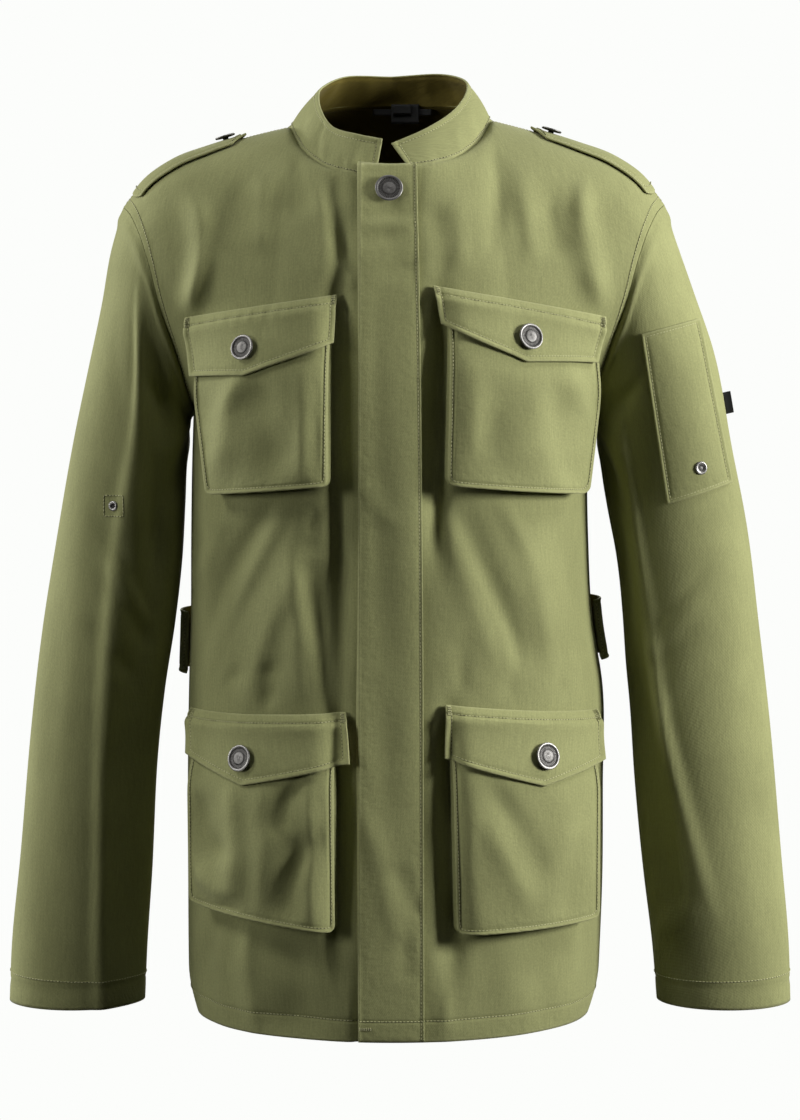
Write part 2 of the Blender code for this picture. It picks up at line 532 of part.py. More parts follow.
# ---------------------------------------------------------------- collar
def collar_lines(u):
    """Foot and top of the collar at u from -1 (right end) round the back to 1."""
    foot, top = np.zeros((len(u), 3)), np.zeros((len(u), 3))
    for k, value in enumerate(u):
        side = "right" if value < 0 else "left"
        a, sign = abs(value), side_sign(side)
        if a < COLLAR_BACK_SHARE:
            line = place(NECKLINE[side, "back"], a / COLLAR_BACK_SHARE)
        else:
            end = COLLAR_END[side]
            share = 1 - (a - COLLAR_BACK_SHARE) / (1 - COLLAR_BACK_SHARE) * (1 - end)
            line = place(NECKLINE[side, "front"], share)
        edge = place(COLLAR_TOP[side], a)
        foot[k] = line * (sign, 1, 1)
        top[k] = edge * (sign, 1, 1)
    return foot, top


def collar_stations():
    """Places round the collar that meet the columns of the panels below it."""
    shares = [c / NECK_SHARE for c in COLUMNS if c <= NECK_SHARE]
    halves = []
    for side in ("right", "left"):
        end = COLLAR_END[side]
        back = [share * COLLAR_BACK_SHARE for share in shares]
        front = [COLLAR_BACK_SHARE + (1 - COLLAR_BACK_SHARE) * (1 - share) / (1 - end)
                 for share in shares[::-1] if share > end][1:] + [1.0]
        halves.append(np.array(back + front))
    return np.concatenate([-halves[0][::-1], halves[1][1:]])


def make_collar(collection, parent):
    """The stand collar, on the neckline of the fronts and the back."""
    foot, top = collar_lines(collar_stations())
    under = LAP_STEP * ease((foot[:, 0] + 0.0345) / 0.0085) * (foot[:, 0] < 0.0) * (foot[:, 1] < 0)
    foot[:, 1] += under
    rise = unit(top - foot)
    foot = foot + rise * COLLAR_LIFT
    share = np.linspace(0, 1, COLLAR_ROWS + 1)[:, None, None]
    centre = np.array([0.0, -0.005, 0.0])
    outward = unit((foot + top) / 2 - centre)
    outward[:, 2] = 0
    roll = COLLAR_ROLL * (1 - ease((np.abs(collar_stations()) - 0.55) / 0.3))[:, None]
    grid = foot * (1 - share) + top * share + outward * roll * np.sin(math.pi * share)
    return cloth("collar", grid, DOUBLE, collection, parent=parent, outside=outward)


# ---------------------------------------------------------------- sleeves
def sleeve(side, q, v):
    """Point of a sleeve: q round it (0 outer line, 0.5 under line), v down it.

    Each row is an ellipse between the under line and the outer line; the first rows
    pass over to the armhole's own line.
    """
    q, v = np.broadcast_arrays(np.asarray(q, float), np.asarray(v, float))
    rows, sign = SLEEVE[side], side_sign(side)
    angle = q * 2 * math.pi

    def ellipse(at):
        inner = np.stack([column(rows, "x_in", at), column(rows, "z_in", at)], axis=-1)
        outer = np.stack([column(rows, "x_out", at), column(rows, "z_out", at)], axis=-1)
        mid, arm = (inner + outer) / 2, (outer - inner) / 2
        depth = np.where(np.sin(angle) > 0, column(rows, "fore", at), column(rows, "aft", at))
        flat = mid + arm * np.cos(angle)[..., None]
        return np.stack([flat[..., 0], column(rows, "y", at) - depth * np.sin(angle), flat[..., 1]],
                        axis=-1)

    here, first = ellipse(v), ellipse(np.zeros_like(v))
    tau = 1 - np.abs(1 - 2 * np.mod(q, 1.0))          # 0 at the outer line, 1 below
    w = np.sin((1 - tau) * math.pi / 2)
    loop = np.where((np.sin(angle) >= 0)[..., None], armhole(side, "front", w), armhole(side, "back", w))
    fade = (1 - np.clip(v / 0.42, 0, 1)) ** 2
    points = here + (loop - first) * fade[..., None]
    points[..., 0] *= sign
    return points


def make_sleeve(side, collection, parent):
    """A sleeve, from the armhole to the open cuff."""
    q = np.arange(SLEEVE_COLUMNS) / SLEEVE_COLUMNS
    v = np.linspace(0, 1, SLEEVE_ROWS + 1) ** 1.15
    q_grid, v_grid = np.meshgrid(q, v)
    grid = sleeve(side, q_grid, v_grid)
    grid[0] += unit(grid[1] - grid[0]) * ARM_GAP
    axis = grid.mean(axis=1, keepdims=True)
    return cloth("sleeve_" + side, grid, TWILL, collection, roll=True, parent=parent,
                 outside=grid - axis)


def on_sleeve(side, x, z, out):
    """Points over the front half of a sleeve, seen from the front at (x, z)."""
    x, z, out = (np.asarray(a, float) for a in np.broadcast_arrays(x, z, out))

    def surface(u, v):
        return sleeve(side, u, v)

    v0 = np.clip((-z - 0.13) / 0.6, 0.05, 0.95)
    q, v = locate(surface, (0.2 + 0 * x, v0), np.stack([x, z], axis=-1))
    q, v = np.clip(q, 0.01, 0.49), np.clip(v, 0.01, 0.99)
    centre = (surface(q * 0, v) + surface(q * 0 + 0.5, v)) / 2
    return surface(q, v) + normal_of(surface, q, v, centre) * out[..., None]


# ---------------------------------------------------------------- pockets and flaps
def below_flap(flap, x, z):
    """How far a place lies below the flap's sewn edge."""
    share = (x - flap.top_in[0]) / (flap.top_out[0] - flap.top_in[0])
    return flap.top_in[1] + (flap.top_out[1] - flap.top_in[1]) * share - z


def bag_stand(depth):
    """How far the bag's face stands off the panel, by depth below the flap's seam."""
    return BAG_MOUTH + (BAG_DEPTH - BAG_MOUTH) * ease((depth - 0.012) / 0.055)


def make_bag(name, collection, parent):
    """A bellows bag: a face with gussets at its sides and bottom, open at its top."""
    bag, flap = BAGS[name], FLAPS[name.replace("pocket", "flap")]
    across = np.concatenate([[0.0, 0.0], np.linspace(0, 1, 9)[1:-1], [1.0, 1.0]])
    down = np.concatenate([np.linspace(0, 1, 9), [1.0]])
    rim_u = np.array([1] + [0] * (len(across) - 2) + [1])
    rim_v = np.array([0] * (len(down) - 1) + [1])
    u, v = np.meshgrid(across, down)
    height = abs(bag.top_in[1] - bag.low_in[1])
    width = abs(bag.top_out[0] - bag.top_in[0])
    turn = np.clip((v - (1 - bag.corner / height)) * height / bag.corner, 0, 1)
    pull = bag.corner / width * (1 - np.sqrt(np.maximum(1 - turn ** 2, 0.0)))
    u = 0.5 + (u - 0.5) * (1 - 2 * pull)
    inner = np.stack([bag.top_in[0] + (bag.low_in[0] - bag.top_in[0]) * v,
                      bag.top_in[1] + (bag.low_in[1] - bag.top_in[1]) * v])
    outer = np.stack([bag.top_out[0] + (bag.low_out[0] - bag.top_out[0]) * v,
                      bag.top_out[1] + (bag.low_out[1] - bag.top_out[1]) * v])
    x, z = inner * (1 - u) + outer * u
    rim = np.maximum(rim_u[None, :], rim_v[:, None]) > 0
    crown = 0.0025 * np.sin(math.pi * u) * np.sin(math.pi * np.clip(v, 0, 1) ** 0.8)
    stand = bag_stand(below_flap(flap, x, z)) + crown
    side = np.where(rim_u[None, :] > 0, np.where(u < 0.5, -1.0, 1.0), 0.0)
    spread = 0.0022 * side * np.sign(bag.top_out[0] - bag.top_in[0])
    x = x + spread
    z = z - 0.0022 * rim_v[:, None]
    grid = on_front(bag.side, x, z, np.where(rim, RIM_GAP, stand))
    return cloth(name, grid, TWILL, collection, parent=parent, outside=(0, -1, 0))


def flap_shape(flap, u, v):
    """Place of a flap's point seen from the front: u across, v down to the point."""
    top = [np.interp(u, [0, 1], [flap.top_in[k], flap.top_out[k]]) for k in (0, 1)]
    bend = (flap.point[0] - flap.top_in[0]) / (flap.top_out[0] - flap.top_in[0])
    keys = [0.0, bend, 1.0]
    low = [np.interp(u, keys, [flap.low_in[k], flap.point[k], flap.low_out[k]]) for k in (0, 1)]
    return top[0] + (low[0] - top[0]) * v, top[1] + (low[1] - top[1]) * v


def flap_stand(depth):
    """How far a flap's outer face stands off the panel, by depth below its seam."""
    lie = LIE_GAP + DOUBLE
    over = bag_stand(depth) + 0.0031 + DOUBLE
    return lie + (over - lie) * ease(depth / 0.0125)


def make_flap(name, collection, parent):
    """A pointed pocket flap, sewn at its top edge and lying over the bag."""
    flap = FLAPS[name]
    bend = (flap.point[0] - flap.top_in[0]) / (flap.top_out[0] - flap.top_in[0])
    across = np.unique(np.concatenate([np.linspace(0, bend, 8), np.linspace(bend, 1, 5)]))
    down = np.array([0.0, 0.12, 0.24, 0.38, 0.55, 0.72, 0.88, 1.0])
    u, v = np.meshgrid(across, down)
    x, z = flap_shape(flap, u, v)
    grid = on_front(flap.side, x, z, flap_stand(below_flap(flap, x, z)))
    return cloth(name, grid, DOUBLE, collection, parent=parent, outside=(0, -1, 0))


# ---------------------------------------------------------------- straps and tabs
def shoulder_top(side, x, y):
    """Points of the shoulder's top seen from above, and their normals."""
    x, y = np.broadcast_arrays(np.asarray(x, float), np.asarray(y, float))
    points, normals = np.zeros(x.shape + (3,)), np.zeros(x.shape + (3,))
    for face in ("front", "back"):
        def surface(u, v, face=face):
            return panel(side, face, u, v, folded=False)
        pick = y <= SIDE_Y if face == "front" else y > SIDE_Y
        s0 = NECK_SHARE + (1 - NECK_SHARE) * (np.abs(x[pick]) - 0.087) / 0.138
        target = np.stack([x[pick], y[pick]], axis=-1)
        s, t = locate(surface, (s0, np.full(s0.shape, 0.93)), target, axes=(0, 1))
        t = np.clip(t, 0.6, 0.998)
        points[pick] = surface(s, t)
        normals[pick] = normal_of(surface, s, t, np.array([side_sign(side) * 0.12, 0, -0.25]))
    return points, normals


def make_strap(side, collection, parent):
    """A shoulder strap over the shoulder seam, pointed at the neck end."""
    far, near = STRAP_SPAN[side]
    share = np.concatenate([np.linspace(0, 0.86, 12), [0.93, 0.985]])
    width = np.linspace(-1, 1, 7)
    half = np.interp(share, [r.share for r in STRAP], [r.half for r in STRAP])
    lift = column(STRAP, "lift", share)
    sewn = far - STRAP_TRIM * width ** 2
    x = side_sign(side) * (sewn + (near - sewn) * share[:, None])
    y = SIDE_Y + half[:, None] * width
    points, normals = shoulder_top(side, x, y)
    bow = (0.3 + 0.7 * (1 - width ** 2))[None, :, None]
    grid = points + normals * (0.0012 + DOUBLE + (lift[:, None, None] - 0.0012) * bow)
    return cloth("shoulder_strap_" + side, grid, DOUBLE, collection, parent=parent, outside=(0, 0, 1))


def make_tab(side, collection, parent):
    """A waist tab over the side seam, bowed off the cloth."""
    tab = TABS[side]
    y = np.linspace(tab.y_front, tab.y_back, 11)
    z = np.linspace(tab.z_low, tab.z_top, 4)
    y_grid, z_grid = np.meshgrid(y, z)
    face = np.where(y_grid < SIDE_Y, 0, 1)
    depth = np.where(face == 0, column(BODY, "y_front", z_grid), column(BODY, "y_back", z_grid))
    half = column(BODY, "half_" + side, z_grid)
    power = column(BODY, "square", z_grid)
    part = np.clip(np.abs((y_grid - SIDE_Y) / (depth - SIDE_Y)), 0, 0.999)
    x = half * (1 - part ** power) ** (1 / power)
    base = np.stack([side_sign(side) * x, y_grid, z_grid], axis=-1)
    out = unit(np.stack([side_sign(side) * x / half ** 2, (y_grid - SIDE_Y) / depth ** 2, 0 * x], axis=-1))
    share = (y_grid - tab.y_front) / (tab.y_back - tab.y_front)
    stand = GAP + DOUBLE + tab.bow * np.sin(math.pi * share) ** 0.8
    grid = base + out * stand[..., None]
    return cloth("waist_tab_" + side, grid, DOUBLE, collection, parent=parent, outside=out)


# ---------------------------------------------------------------- sleeve pocket
def make_sleeve_patch(collection, parent):
    """The flat patch pocket on the wearer's left sleeve."""
    top_in, top_out, low_in, low_out = (np.array(c) for c in SLEEVE_PATCH)
    u, v = np.meshgrid(np.linspace(0, 1, 9), np.linspace(0, 1, 9))
    top = top_in + (top_out - top_in) * u[..., None]
    low = low_in + (low_out - low_in) * u[..., None]
    flat = top + (low - top) * v[..., None]
    puff = 0.0018 * np.sin(math.pi * u) * np.sin(math.pi * v)
    grid = on_sleeve("left", flat[..., 0], flat[..., 1], GAP + 0.0005 + TWILL + puff)
    return cloth("sleeve_pocket", grid, TWILL, collection, parent=parent, outside=(0.3, -1, 0))


def make_sleeve_tag(collection, parent):
    """The small black tag that stands out of the sleeve's outer line."""
    v = np.linspace(0, 1, 3)
    row = sleeve("left", np.full(3, 0.02), 0.308 + 0.030 * v)
    out = np.array([0.95, 0.05, 0.22])
    grid = np.stack([row + out * 0.0004, row + out * 0.0036, row + out * 0.0068], axis=1)
    return cloth("sleeve_tag", grid, 0.0012, collection, "black", parent=parent, outside=(0, -1, 0))


# ---------------------------------------------------------------- neck trims
def make_neck_trims(collection, parent):
    """Label, size tab and hanger loop, black and bare, inside the back of the neck."""
    def strip(name, x_range, z_range, columns, off):
        x = np.linspace(*x_range, columns)[None, :]
        z = np.linspace(*z_range, 3)[:, None]
        y = 0.0610 - 0.0029 * (x / 0.031) ** 2 - off - 0.10 * (z_range[1] - z)
        return cloth(name, np.stack(np.broadcast_arrays(x, y, z), axis=-1), 0.0010, collection,
                     "black", parent=parent, outside=(0, -1, 0))

    strip("hanger_loop", (-0.0165, 0.0339), (0.0072, 0.0124), 11, 0.0034)
    strip("neck_label", (-0.0008, 0.0228), (0.0000, 0.0164), 5, 0.0048)
    strip("size_tab", (0.0008, 0.0161), (0.0082, 0.0158), 5, 0.0064)


# ---------------------------------------------------------------- metal
def button_profile(radius):
    """Shank button from the top down: domed middle, dished ring, rolled rim, shank."""
    return [(0.0, 0.0044), (radius * 0.42, 0.0041), (radius * 0.60, 0.0034),
            (radius * 0.80, 0.0036), (radius * 0.92, 0.0045), (radius, 0.0036),
            (radius * 0.94, 0.0026), (radius * 0.30, 0.0022), (radius * 0.28, 0.0007), (0.0, 0.0007)]


def make_buttons(collection, parent):
    """The five buttons seen from the front and the two on the straps."""
    for name, button in BUTTONS.items():
        x, z = np.array([button.x]), np.array([button.z])
        if button.on == "fly":
            lie = GAP + 0.0006 + DOUBLE
            point, more = fly_points(x, z, lie)[0], fly_points(x, z, lie + 0.01)[0]
        else:
            flap = FLAPS[button.on]
            lie = flap_stand(below_flap(flap, x, z))
            point, more = on_front(flap.side, x, z, lie)[0], on_front(flap.side, x, z, lie + 0.01)[0]
            lower = on_front(flap.side, x, z - 0.004, flap_stand(below_flap(flap, x, z - 0.004)))[0]
            across = on_front(flap.side, x + 0.004, z, flap_stand(below_flap(flap, x + 0.004, z)))[0]
            facing = unit(np.cross(point - lower, across - point))
            more = point + facing * (1 if facing[1] < 0 else -1)
        turned(name, button_profile(button.radius), 18, collection, point, more - point, parent=parent)
    for side in ("right", "left"):
        far, near = STRAP_SPAN[side]
        at = STRAP_BUTTON[side]
        share = (far - at) / (far - near)
        points, normals = shoulder_top(side, np.array([side_sign(side) * at]), np.array([SIDE_Y + 0.0004]))
        lift = float(column(STRAP, "lift", share)) + DOUBLE
        turned("button_strap_" + side, button_profile(0.0085), 16, collection,
               points[0] + normals[0] * lift, normals[0], parent=parent)


def make_snaps(collection, parent):
    """The snap on the sleeve pocket and the stud on the wearer's right sleeve."""
    cap = [(0.0, 0.0012), (0.0016, 0.0010), (0.0030, 0.0014), (0.0046, 0.0019), (0.0054, 0.0012),
           (0.0050, 0.0003), (0.0, 0.0003)]
    x, z = np.array([SLEEVE_SNAP[0]]), np.array([SLEEVE_SNAP[1]])
    lie = GAP + 0.0005 + TWILL + 0.0010
    point, more = on_sleeve("left", x, z, lie)[0], on_sleeve("left", x, z, lie + 0.01)[0]
    turned("sleeve_pocket_snap", cap, 14, collection, point, more - point, parent=parent)
    ring = [(0.0, 0.0006), (0.0017, 0.0006), (0.0022, 0.0014), (0.0032, 0.0017), (0.0041, 0.0011),
            (0.0040, 0.0004), (0.0, 0.0004)]
    x, z = np.array([SLEEVE_STUD[0]]), np.array([SLEEVE_STUD[1]])
    point, more = on_sleeve("right", x, z, 0.0)[0], on_sleeve("right", x, z, 0.01)[0]
    turned("sleeve_snap_right", ring, 14, collection, point, more - point, parent=parent)


# ---------------------------------------------------------------- build
def main():
    """Clear the scene and build the jacket."""
    for old in list(bpy.data.objects):
        bpy.data.objects.remove(old, do_unlink=True)
    collection = bpy.data.collections.new("chef_jacket")
    bpy.context.scene.collection.children.link(collection)
    root = bpy.data.objects.new("jacket_frame", None)
    collection.objects.link(root)

    for side in ("right", "left"):
        make_front(side, collection, root)
        make_sleeve(side, collection, root)
        make_strap(side, collection, root)
        make_tab(side, collection, root)
    make_back(collection, root)
    make_collar(collection, root)
    make_fly(collection, root)
    for name in BAGS:
        make_bag(name, collection, root)
    for name in FLAPS:
        make_flap(name, collection, root)
    make_sleeve_patch(collection, root)
    make_sleeve_tag(collection, root)
    make_neck_trims(collection, root)
    make_buttons(collection, root)
    make_snaps(collection, root)


if __name__ == "__main__":
    main()
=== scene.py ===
"""Chef jacket, dressed: olive cotton twill, sewn and pressed, filled out as worn.

Metres, +Z up; the jacket's front faces -Y and the wearer's left is +X.  Each piece of
cloth is a thin shell worked out from the same rings and seam lines as its solid, on a
finer grid, with its creases laid one by one.  Stitches, buttons and snaps are made one by
one on the cloth that carries them.
"""
from __future__ import annotations

import logging
import math
from dataclasses import dataclass, field, fields
from enum import Enum
from functools import partial
from typing import Any, Callable, Sequence

import bpy
import numpy as np
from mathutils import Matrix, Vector

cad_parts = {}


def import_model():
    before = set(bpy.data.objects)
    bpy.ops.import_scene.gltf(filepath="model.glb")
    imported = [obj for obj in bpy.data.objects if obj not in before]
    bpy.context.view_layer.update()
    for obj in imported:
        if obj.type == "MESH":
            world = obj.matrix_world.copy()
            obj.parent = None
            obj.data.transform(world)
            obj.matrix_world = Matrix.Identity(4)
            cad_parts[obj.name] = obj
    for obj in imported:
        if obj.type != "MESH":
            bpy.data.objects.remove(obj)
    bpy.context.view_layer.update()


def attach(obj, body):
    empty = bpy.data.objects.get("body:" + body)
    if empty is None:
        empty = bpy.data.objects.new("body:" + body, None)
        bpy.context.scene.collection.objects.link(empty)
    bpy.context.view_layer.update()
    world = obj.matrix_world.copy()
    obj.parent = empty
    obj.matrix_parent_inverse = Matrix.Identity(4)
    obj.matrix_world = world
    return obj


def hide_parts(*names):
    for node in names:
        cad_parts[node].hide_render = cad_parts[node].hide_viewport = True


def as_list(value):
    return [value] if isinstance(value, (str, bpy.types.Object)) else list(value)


LOG = logging.getLogger("chef_jacket")
Array = np.ndarray
Surface = Callable[[Array, Array], Array]


class Side(Enum):
    """The wearer's two sides."""

    RIGHT = "right"
    LEFT = "left"

    @property
    def sign(self) -> float:
        """Sign of x on this side."""
        return 1.0 if self is Side.LEFT else -1.0


class Face(Enum):
    """The two faces of the body."""

    FRONT = "front"
    BACK = "back"

    @property
    def sign(self) -> float:
        """Sign of y on this face."""
        return 1.0 if self is Face.BACK else -1.0


class Hold(Enum):
    """How a piece of cloth is held once it is sewn in."""

    HUNG = "hung"
    LAID = "laid"


# ---------------------------------------------------------------- small maths
def ease(value: Array) -> Array:
    """Smooth step, 3v^2 - 2v^3 between 0 and 1."""
    value = np.clip(value, 0.0, 1.0)
    return value * value * (3 - 2 * value)


def unit(vectors: Array) -> Array:
    """Vectors divided by their length."""
    return vectors / np.maximum(np.linalg.norm(vectors, axis=-1, keepdims=True), 1e-12)


def bell(value: Array, width: float | Array) -> Array:
    """Bell curve exp(-(v / width)^2)."""
    return np.exp(-(value / width) ** 2)


class Table:
    """Rows of named sizes, read smoothly at a value of their first column."""

    def __init__(self, rows: Sequence[Any]) -> None:
        """Sort the rows and work out each column's slopes.

        Args:
            rows: dataclass rows, whose first field is the key.
        """
        names = [f.name for f in fields(rows[0])]
        data = np.array(sorted([getattr(row, n) for n in names] for row in rows), float)
        self.keys = data[:, 0]
        self.columns = {n: data[:, k] for k, n in enumerate(names)}
        self.slopes = {n: np.gradient(data[:, k], self.keys) for k, n in enumerate(names)}

    def at(self, name: str, value: Array | float) -> Array:
        """One column between its rows, as a cubic Hermite curve.

        Args:
            name: the column.
            value: values of the first column, held inside its range.

        Returns:
            The column's value at each.
        """
        keys, column, slope = self.keys, self.columns[name], self.slopes[name]
        value = np.clip(np.asarray(value, float), keys[0], keys[-1])
        i = np.clip(np.searchsorted(keys, value, side="right") - 1, 0, len(keys) - 2)
        h = keys[i + 1] - keys[i]
        u = (value - keys[i]) / h
        return ((2 * u ** 3 - 3 * u ** 2 + 1) * column[i] + (u ** 3 - 2 * u ** 2 + u) * h * slope[i]
                + (3 * u ** 2 - 2 * u ** 3) * column[i + 1] + (u ** 3 - u ** 2) * h * slope[i + 1])

    def point(self, value: Array | float) -> Array:
        """The x, y and z columns at the same values."""
        return np.stack([self.at(axis, value) for axis in "xyz"], axis=-1)


def paired(*values: Array | float) -> list[Array]:
    """Coordinates as arrays of floats of one shape."""
    return list(np.broadcast_arrays(*(np.asarray(value, float) for value in values)))


def normals_of(surface: Surface, u: Array, v: Array, inside: Array) -> Array:
    """Unit normals: the cross product of the surface's two central differences.

    Args:
        surface: the surface function.
        u: first parameter.
        v: second parameter.
        inside: points that the normals turn away from.

    Returns:
        Normals, pointing away from the inside.
    """
    e = 4e-4
    n = unit(np.cross(surface(u + e, v) - surface(u - e, v), surface(u, v + e) - surface(u, v - e)))
    out = np.sum(n * (surface(u, v) - inside), axis=-1, keepdims=True)
    return n * np.where(out < 0, -1.0, 1.0)


def locate(surface: Surface, u: Array, v: Array, target: Array, axes: tuple[int, int] = (0, 2)
           ) -> tuple[Array, Array]:
    """Parameters at which a surface has two wanted coordinates, by Newton's method.

    Args:
        surface: the surface function.
        u: first guess of the first parameter.
        v: first guess of the second parameter.
        target: the wanted pairs of coordinates.
        axes: which two coordinates they are.

    Returns:
        The two parameters.
    """
    pick, e = list(axes), 1e-4
    u, v = (np.array(a, float) * np.ones(target.shape[:-1]) for a in (u, v))
    for _ in range(16):
        miss = target - surface(u, v)[..., pick]
        a = (surface(u + e, v) - surface(u - e, v))[..., pick] / (2 * e)
        b = (surface(u, v + e) - surface(u, v - e))[..., pick] / (2 * e)
        det = a[..., 0] * b[..., 1] - a[..., 1] * b[..., 0]
        det = np.where(np.abs(det) < 1e-9, 1e-9, det)
        u = u + np.clip((miss[..., 0] * b[..., 1] - miss[..., 1] * b[..., 0]) / det, -0.08, 0.08)
        v = v + np.clip((a[..., 0] * miss[..., 1] - a[..., 1] * miss[..., 0]) / det, -0.08, 0.08)
        if np.max(np.abs(miss)) < 2e-6:
            break
    return u, v


def edge_distance(corners: Array, x: Array, z: Array) -> Array:
    """Distance from places to the nearest side of a convex outline, positive inside.

    Args:
        corners: the outline's corners in order, as (x, z).
        x: places' x.
        z: places' z.

    Returns:
        The least of the distances to the sides' lines.
    """
    middle = corners.mean(axis=0)
    nearest = np.full(np.broadcast(x, z).shape, np.inf)
    for (ax, az), (bx, bz) in zip(corners, np.roll(corners, -1, axis=0)):
        length = math.hypot(bx - ax, bz - az)
        nx, nz = (az - bz) / length, (bx - ax) / length
        if nx * (middle[0] - ax) + nz * (middle[1] - az) < 0:
            nx, nz = -nx, -nz
        nearest = np.minimum(nearest, nx * (x - ax) + nz * (z - az))
    return nearest


def inset_outline(corners: Array, inset: Sequence[float]) -> Array:
    """Corners of an outline whose sides are moved inwards by their own distances.

    Args:
        corners: the outline's corners in order, as (x, z).
        inset: how far each side moves in, from corner k to corner k + 1.

    Returns:
        The new corners: where each two moved sides meet.
    """
    middle = corners.mean(axis=0)
    sides = []
    for (a, b, move) in zip(corners, np.roll(corners, -1, axis=0), inset):
        along = (b - a) / np.linalg.norm(b - a)
        normal = np.array([-along[1], along[0]])
        if normal @ (middle - a) < 0:
            normal = -normal
        sides.append((a + normal * move, along))
    met = []
    for k in range(len(sides)):
        (p, r), (q, s) = sides[k - 1], sides[k]
        cross = r[0] * s[1] - r[1] * s[0]
        w = q - p
        met.append(p + r * ((w[0] * s[1] - w[1] * s[0]) / cross))
    return np.array(met)


def walk(corners: Array, step: float = 0.0016) -> Array:
    """Points along a polyline, one each step.

    Args:
        corners: the polyline's points.
        step: distance between the points made.

    Returns:
        The points, the first and last corner among them.
    """
    reach = np.concatenate([[0.0], np.cumsum(np.linalg.norm(np.diff(corners, axis=0), axis=1))])
    along = np.linspace(0, reach[-1], max(2, int(reach[-1] / step) + 1))
    return read_line(corners, reach, along)


# ---------------------------------------------------------------- rows of the tables
NO_UNIT = ("share", "v", "square", "lean", "hollow")


def in_mm(kind: type, *rows: Sequence[float]) -> tuple[Any, ...]:
    """Table rows that are written in millimetres, made in metres.

    Args:
        kind: the rows' dataclass.
        rows: values in the order of its fields; those without a unit stay as they are.

    Returns:
        The rows.
    """
    names = [f.name for f in fields(kind)]
    return tuple(kind(*(value if name in NO_UNIT else round(value / 1000, 7)
                        for name, value in zip(names, row))) for row in rows)


@dataclass(frozen=True)
class BodyRing:
    """A ring of the body below the armpit."""

    z: float
    half_right: float
    half_left: float
    y_front: float
    y_back: float
    square: float


@dataclass(frozen=True)
class Centre:
    """The middle of the front or back at a height."""

    z: float
    y: float


@dataclass(frozen=True)
class Edge:
    """A point of a seam line at a share of its length."""

    share: float
    x: float
    y: float
    z: float


@dataclass(frozen=True)
class SleeveRow:
    """Under line, outer line and half depths of a sleeve."""

    v: float
    x_in: float
    z_in: float
    x_out: float
    z_out: float
    y: float
    fore: float
    aft: float


@dataclass(frozen=True)
class Crease:
    """A soft trough (negative height) or ridge laid from one place to another."""

    x0: float
    z0: float
    x1: float
    z1: float
    width: float
    height: float
    bend: float = 0.0
    lean: float = 0.0

    def relief(self, x: Array, z: Array) -> Array:
        """Height at places: a bell across a bowed line, uneven along it, fading at its ends.

        Args:
            x: places' first coordinate, in metres.
            z: places' second coordinate, in metres.

        Returns:
            The height in metres.
        """
        dx, dz = self.x1 - self.x0, self.z1 - self.z0
        length = math.hypot(dx, dz)
        along = ((x - self.x0) * dx + (z - self.z0) * dz) / length ** 2
        across = ((x - self.x0) * dz - (z - self.z0) * dx) / length
        seed = 53.0 * self.x0 + 31.0 * self.z0
        across = (across - self.bend * 4 * along * (1 - along)
                  - 0.12 * self.width * np.sin(6.3 * along + seed))
        wide = self.width * (1 + 0.22 * np.sin(5.1 * along + 1.7 * seed)) * (1 + self.lean * np.tanh(
            across / self.width))
        fade = ease((along + 0.18) / 0.40) * ease((1.18 - along) / 0.40)
        return self.height * fade * (1 + 0.20 * np.sin(8.3 * along + seed)) * bell(across, wide)


def relief_of(creases: Sequence[Crease], x: Array, z: Array) -> Array:
    """Sum of the heights of some creases."""
    total = np.zeros(np.broadcast(x, z).shape)
    for crease in creases:
        total = total + crease.relief(x, z)
    return total


# ---------------------------------------------------------------- the jacket's form
SLEEVE_GIRTH = 0.33
SLEEVE_LENGTH = 0.60
NECK_MIDDLE = (0.0, -0.005, 0.0)


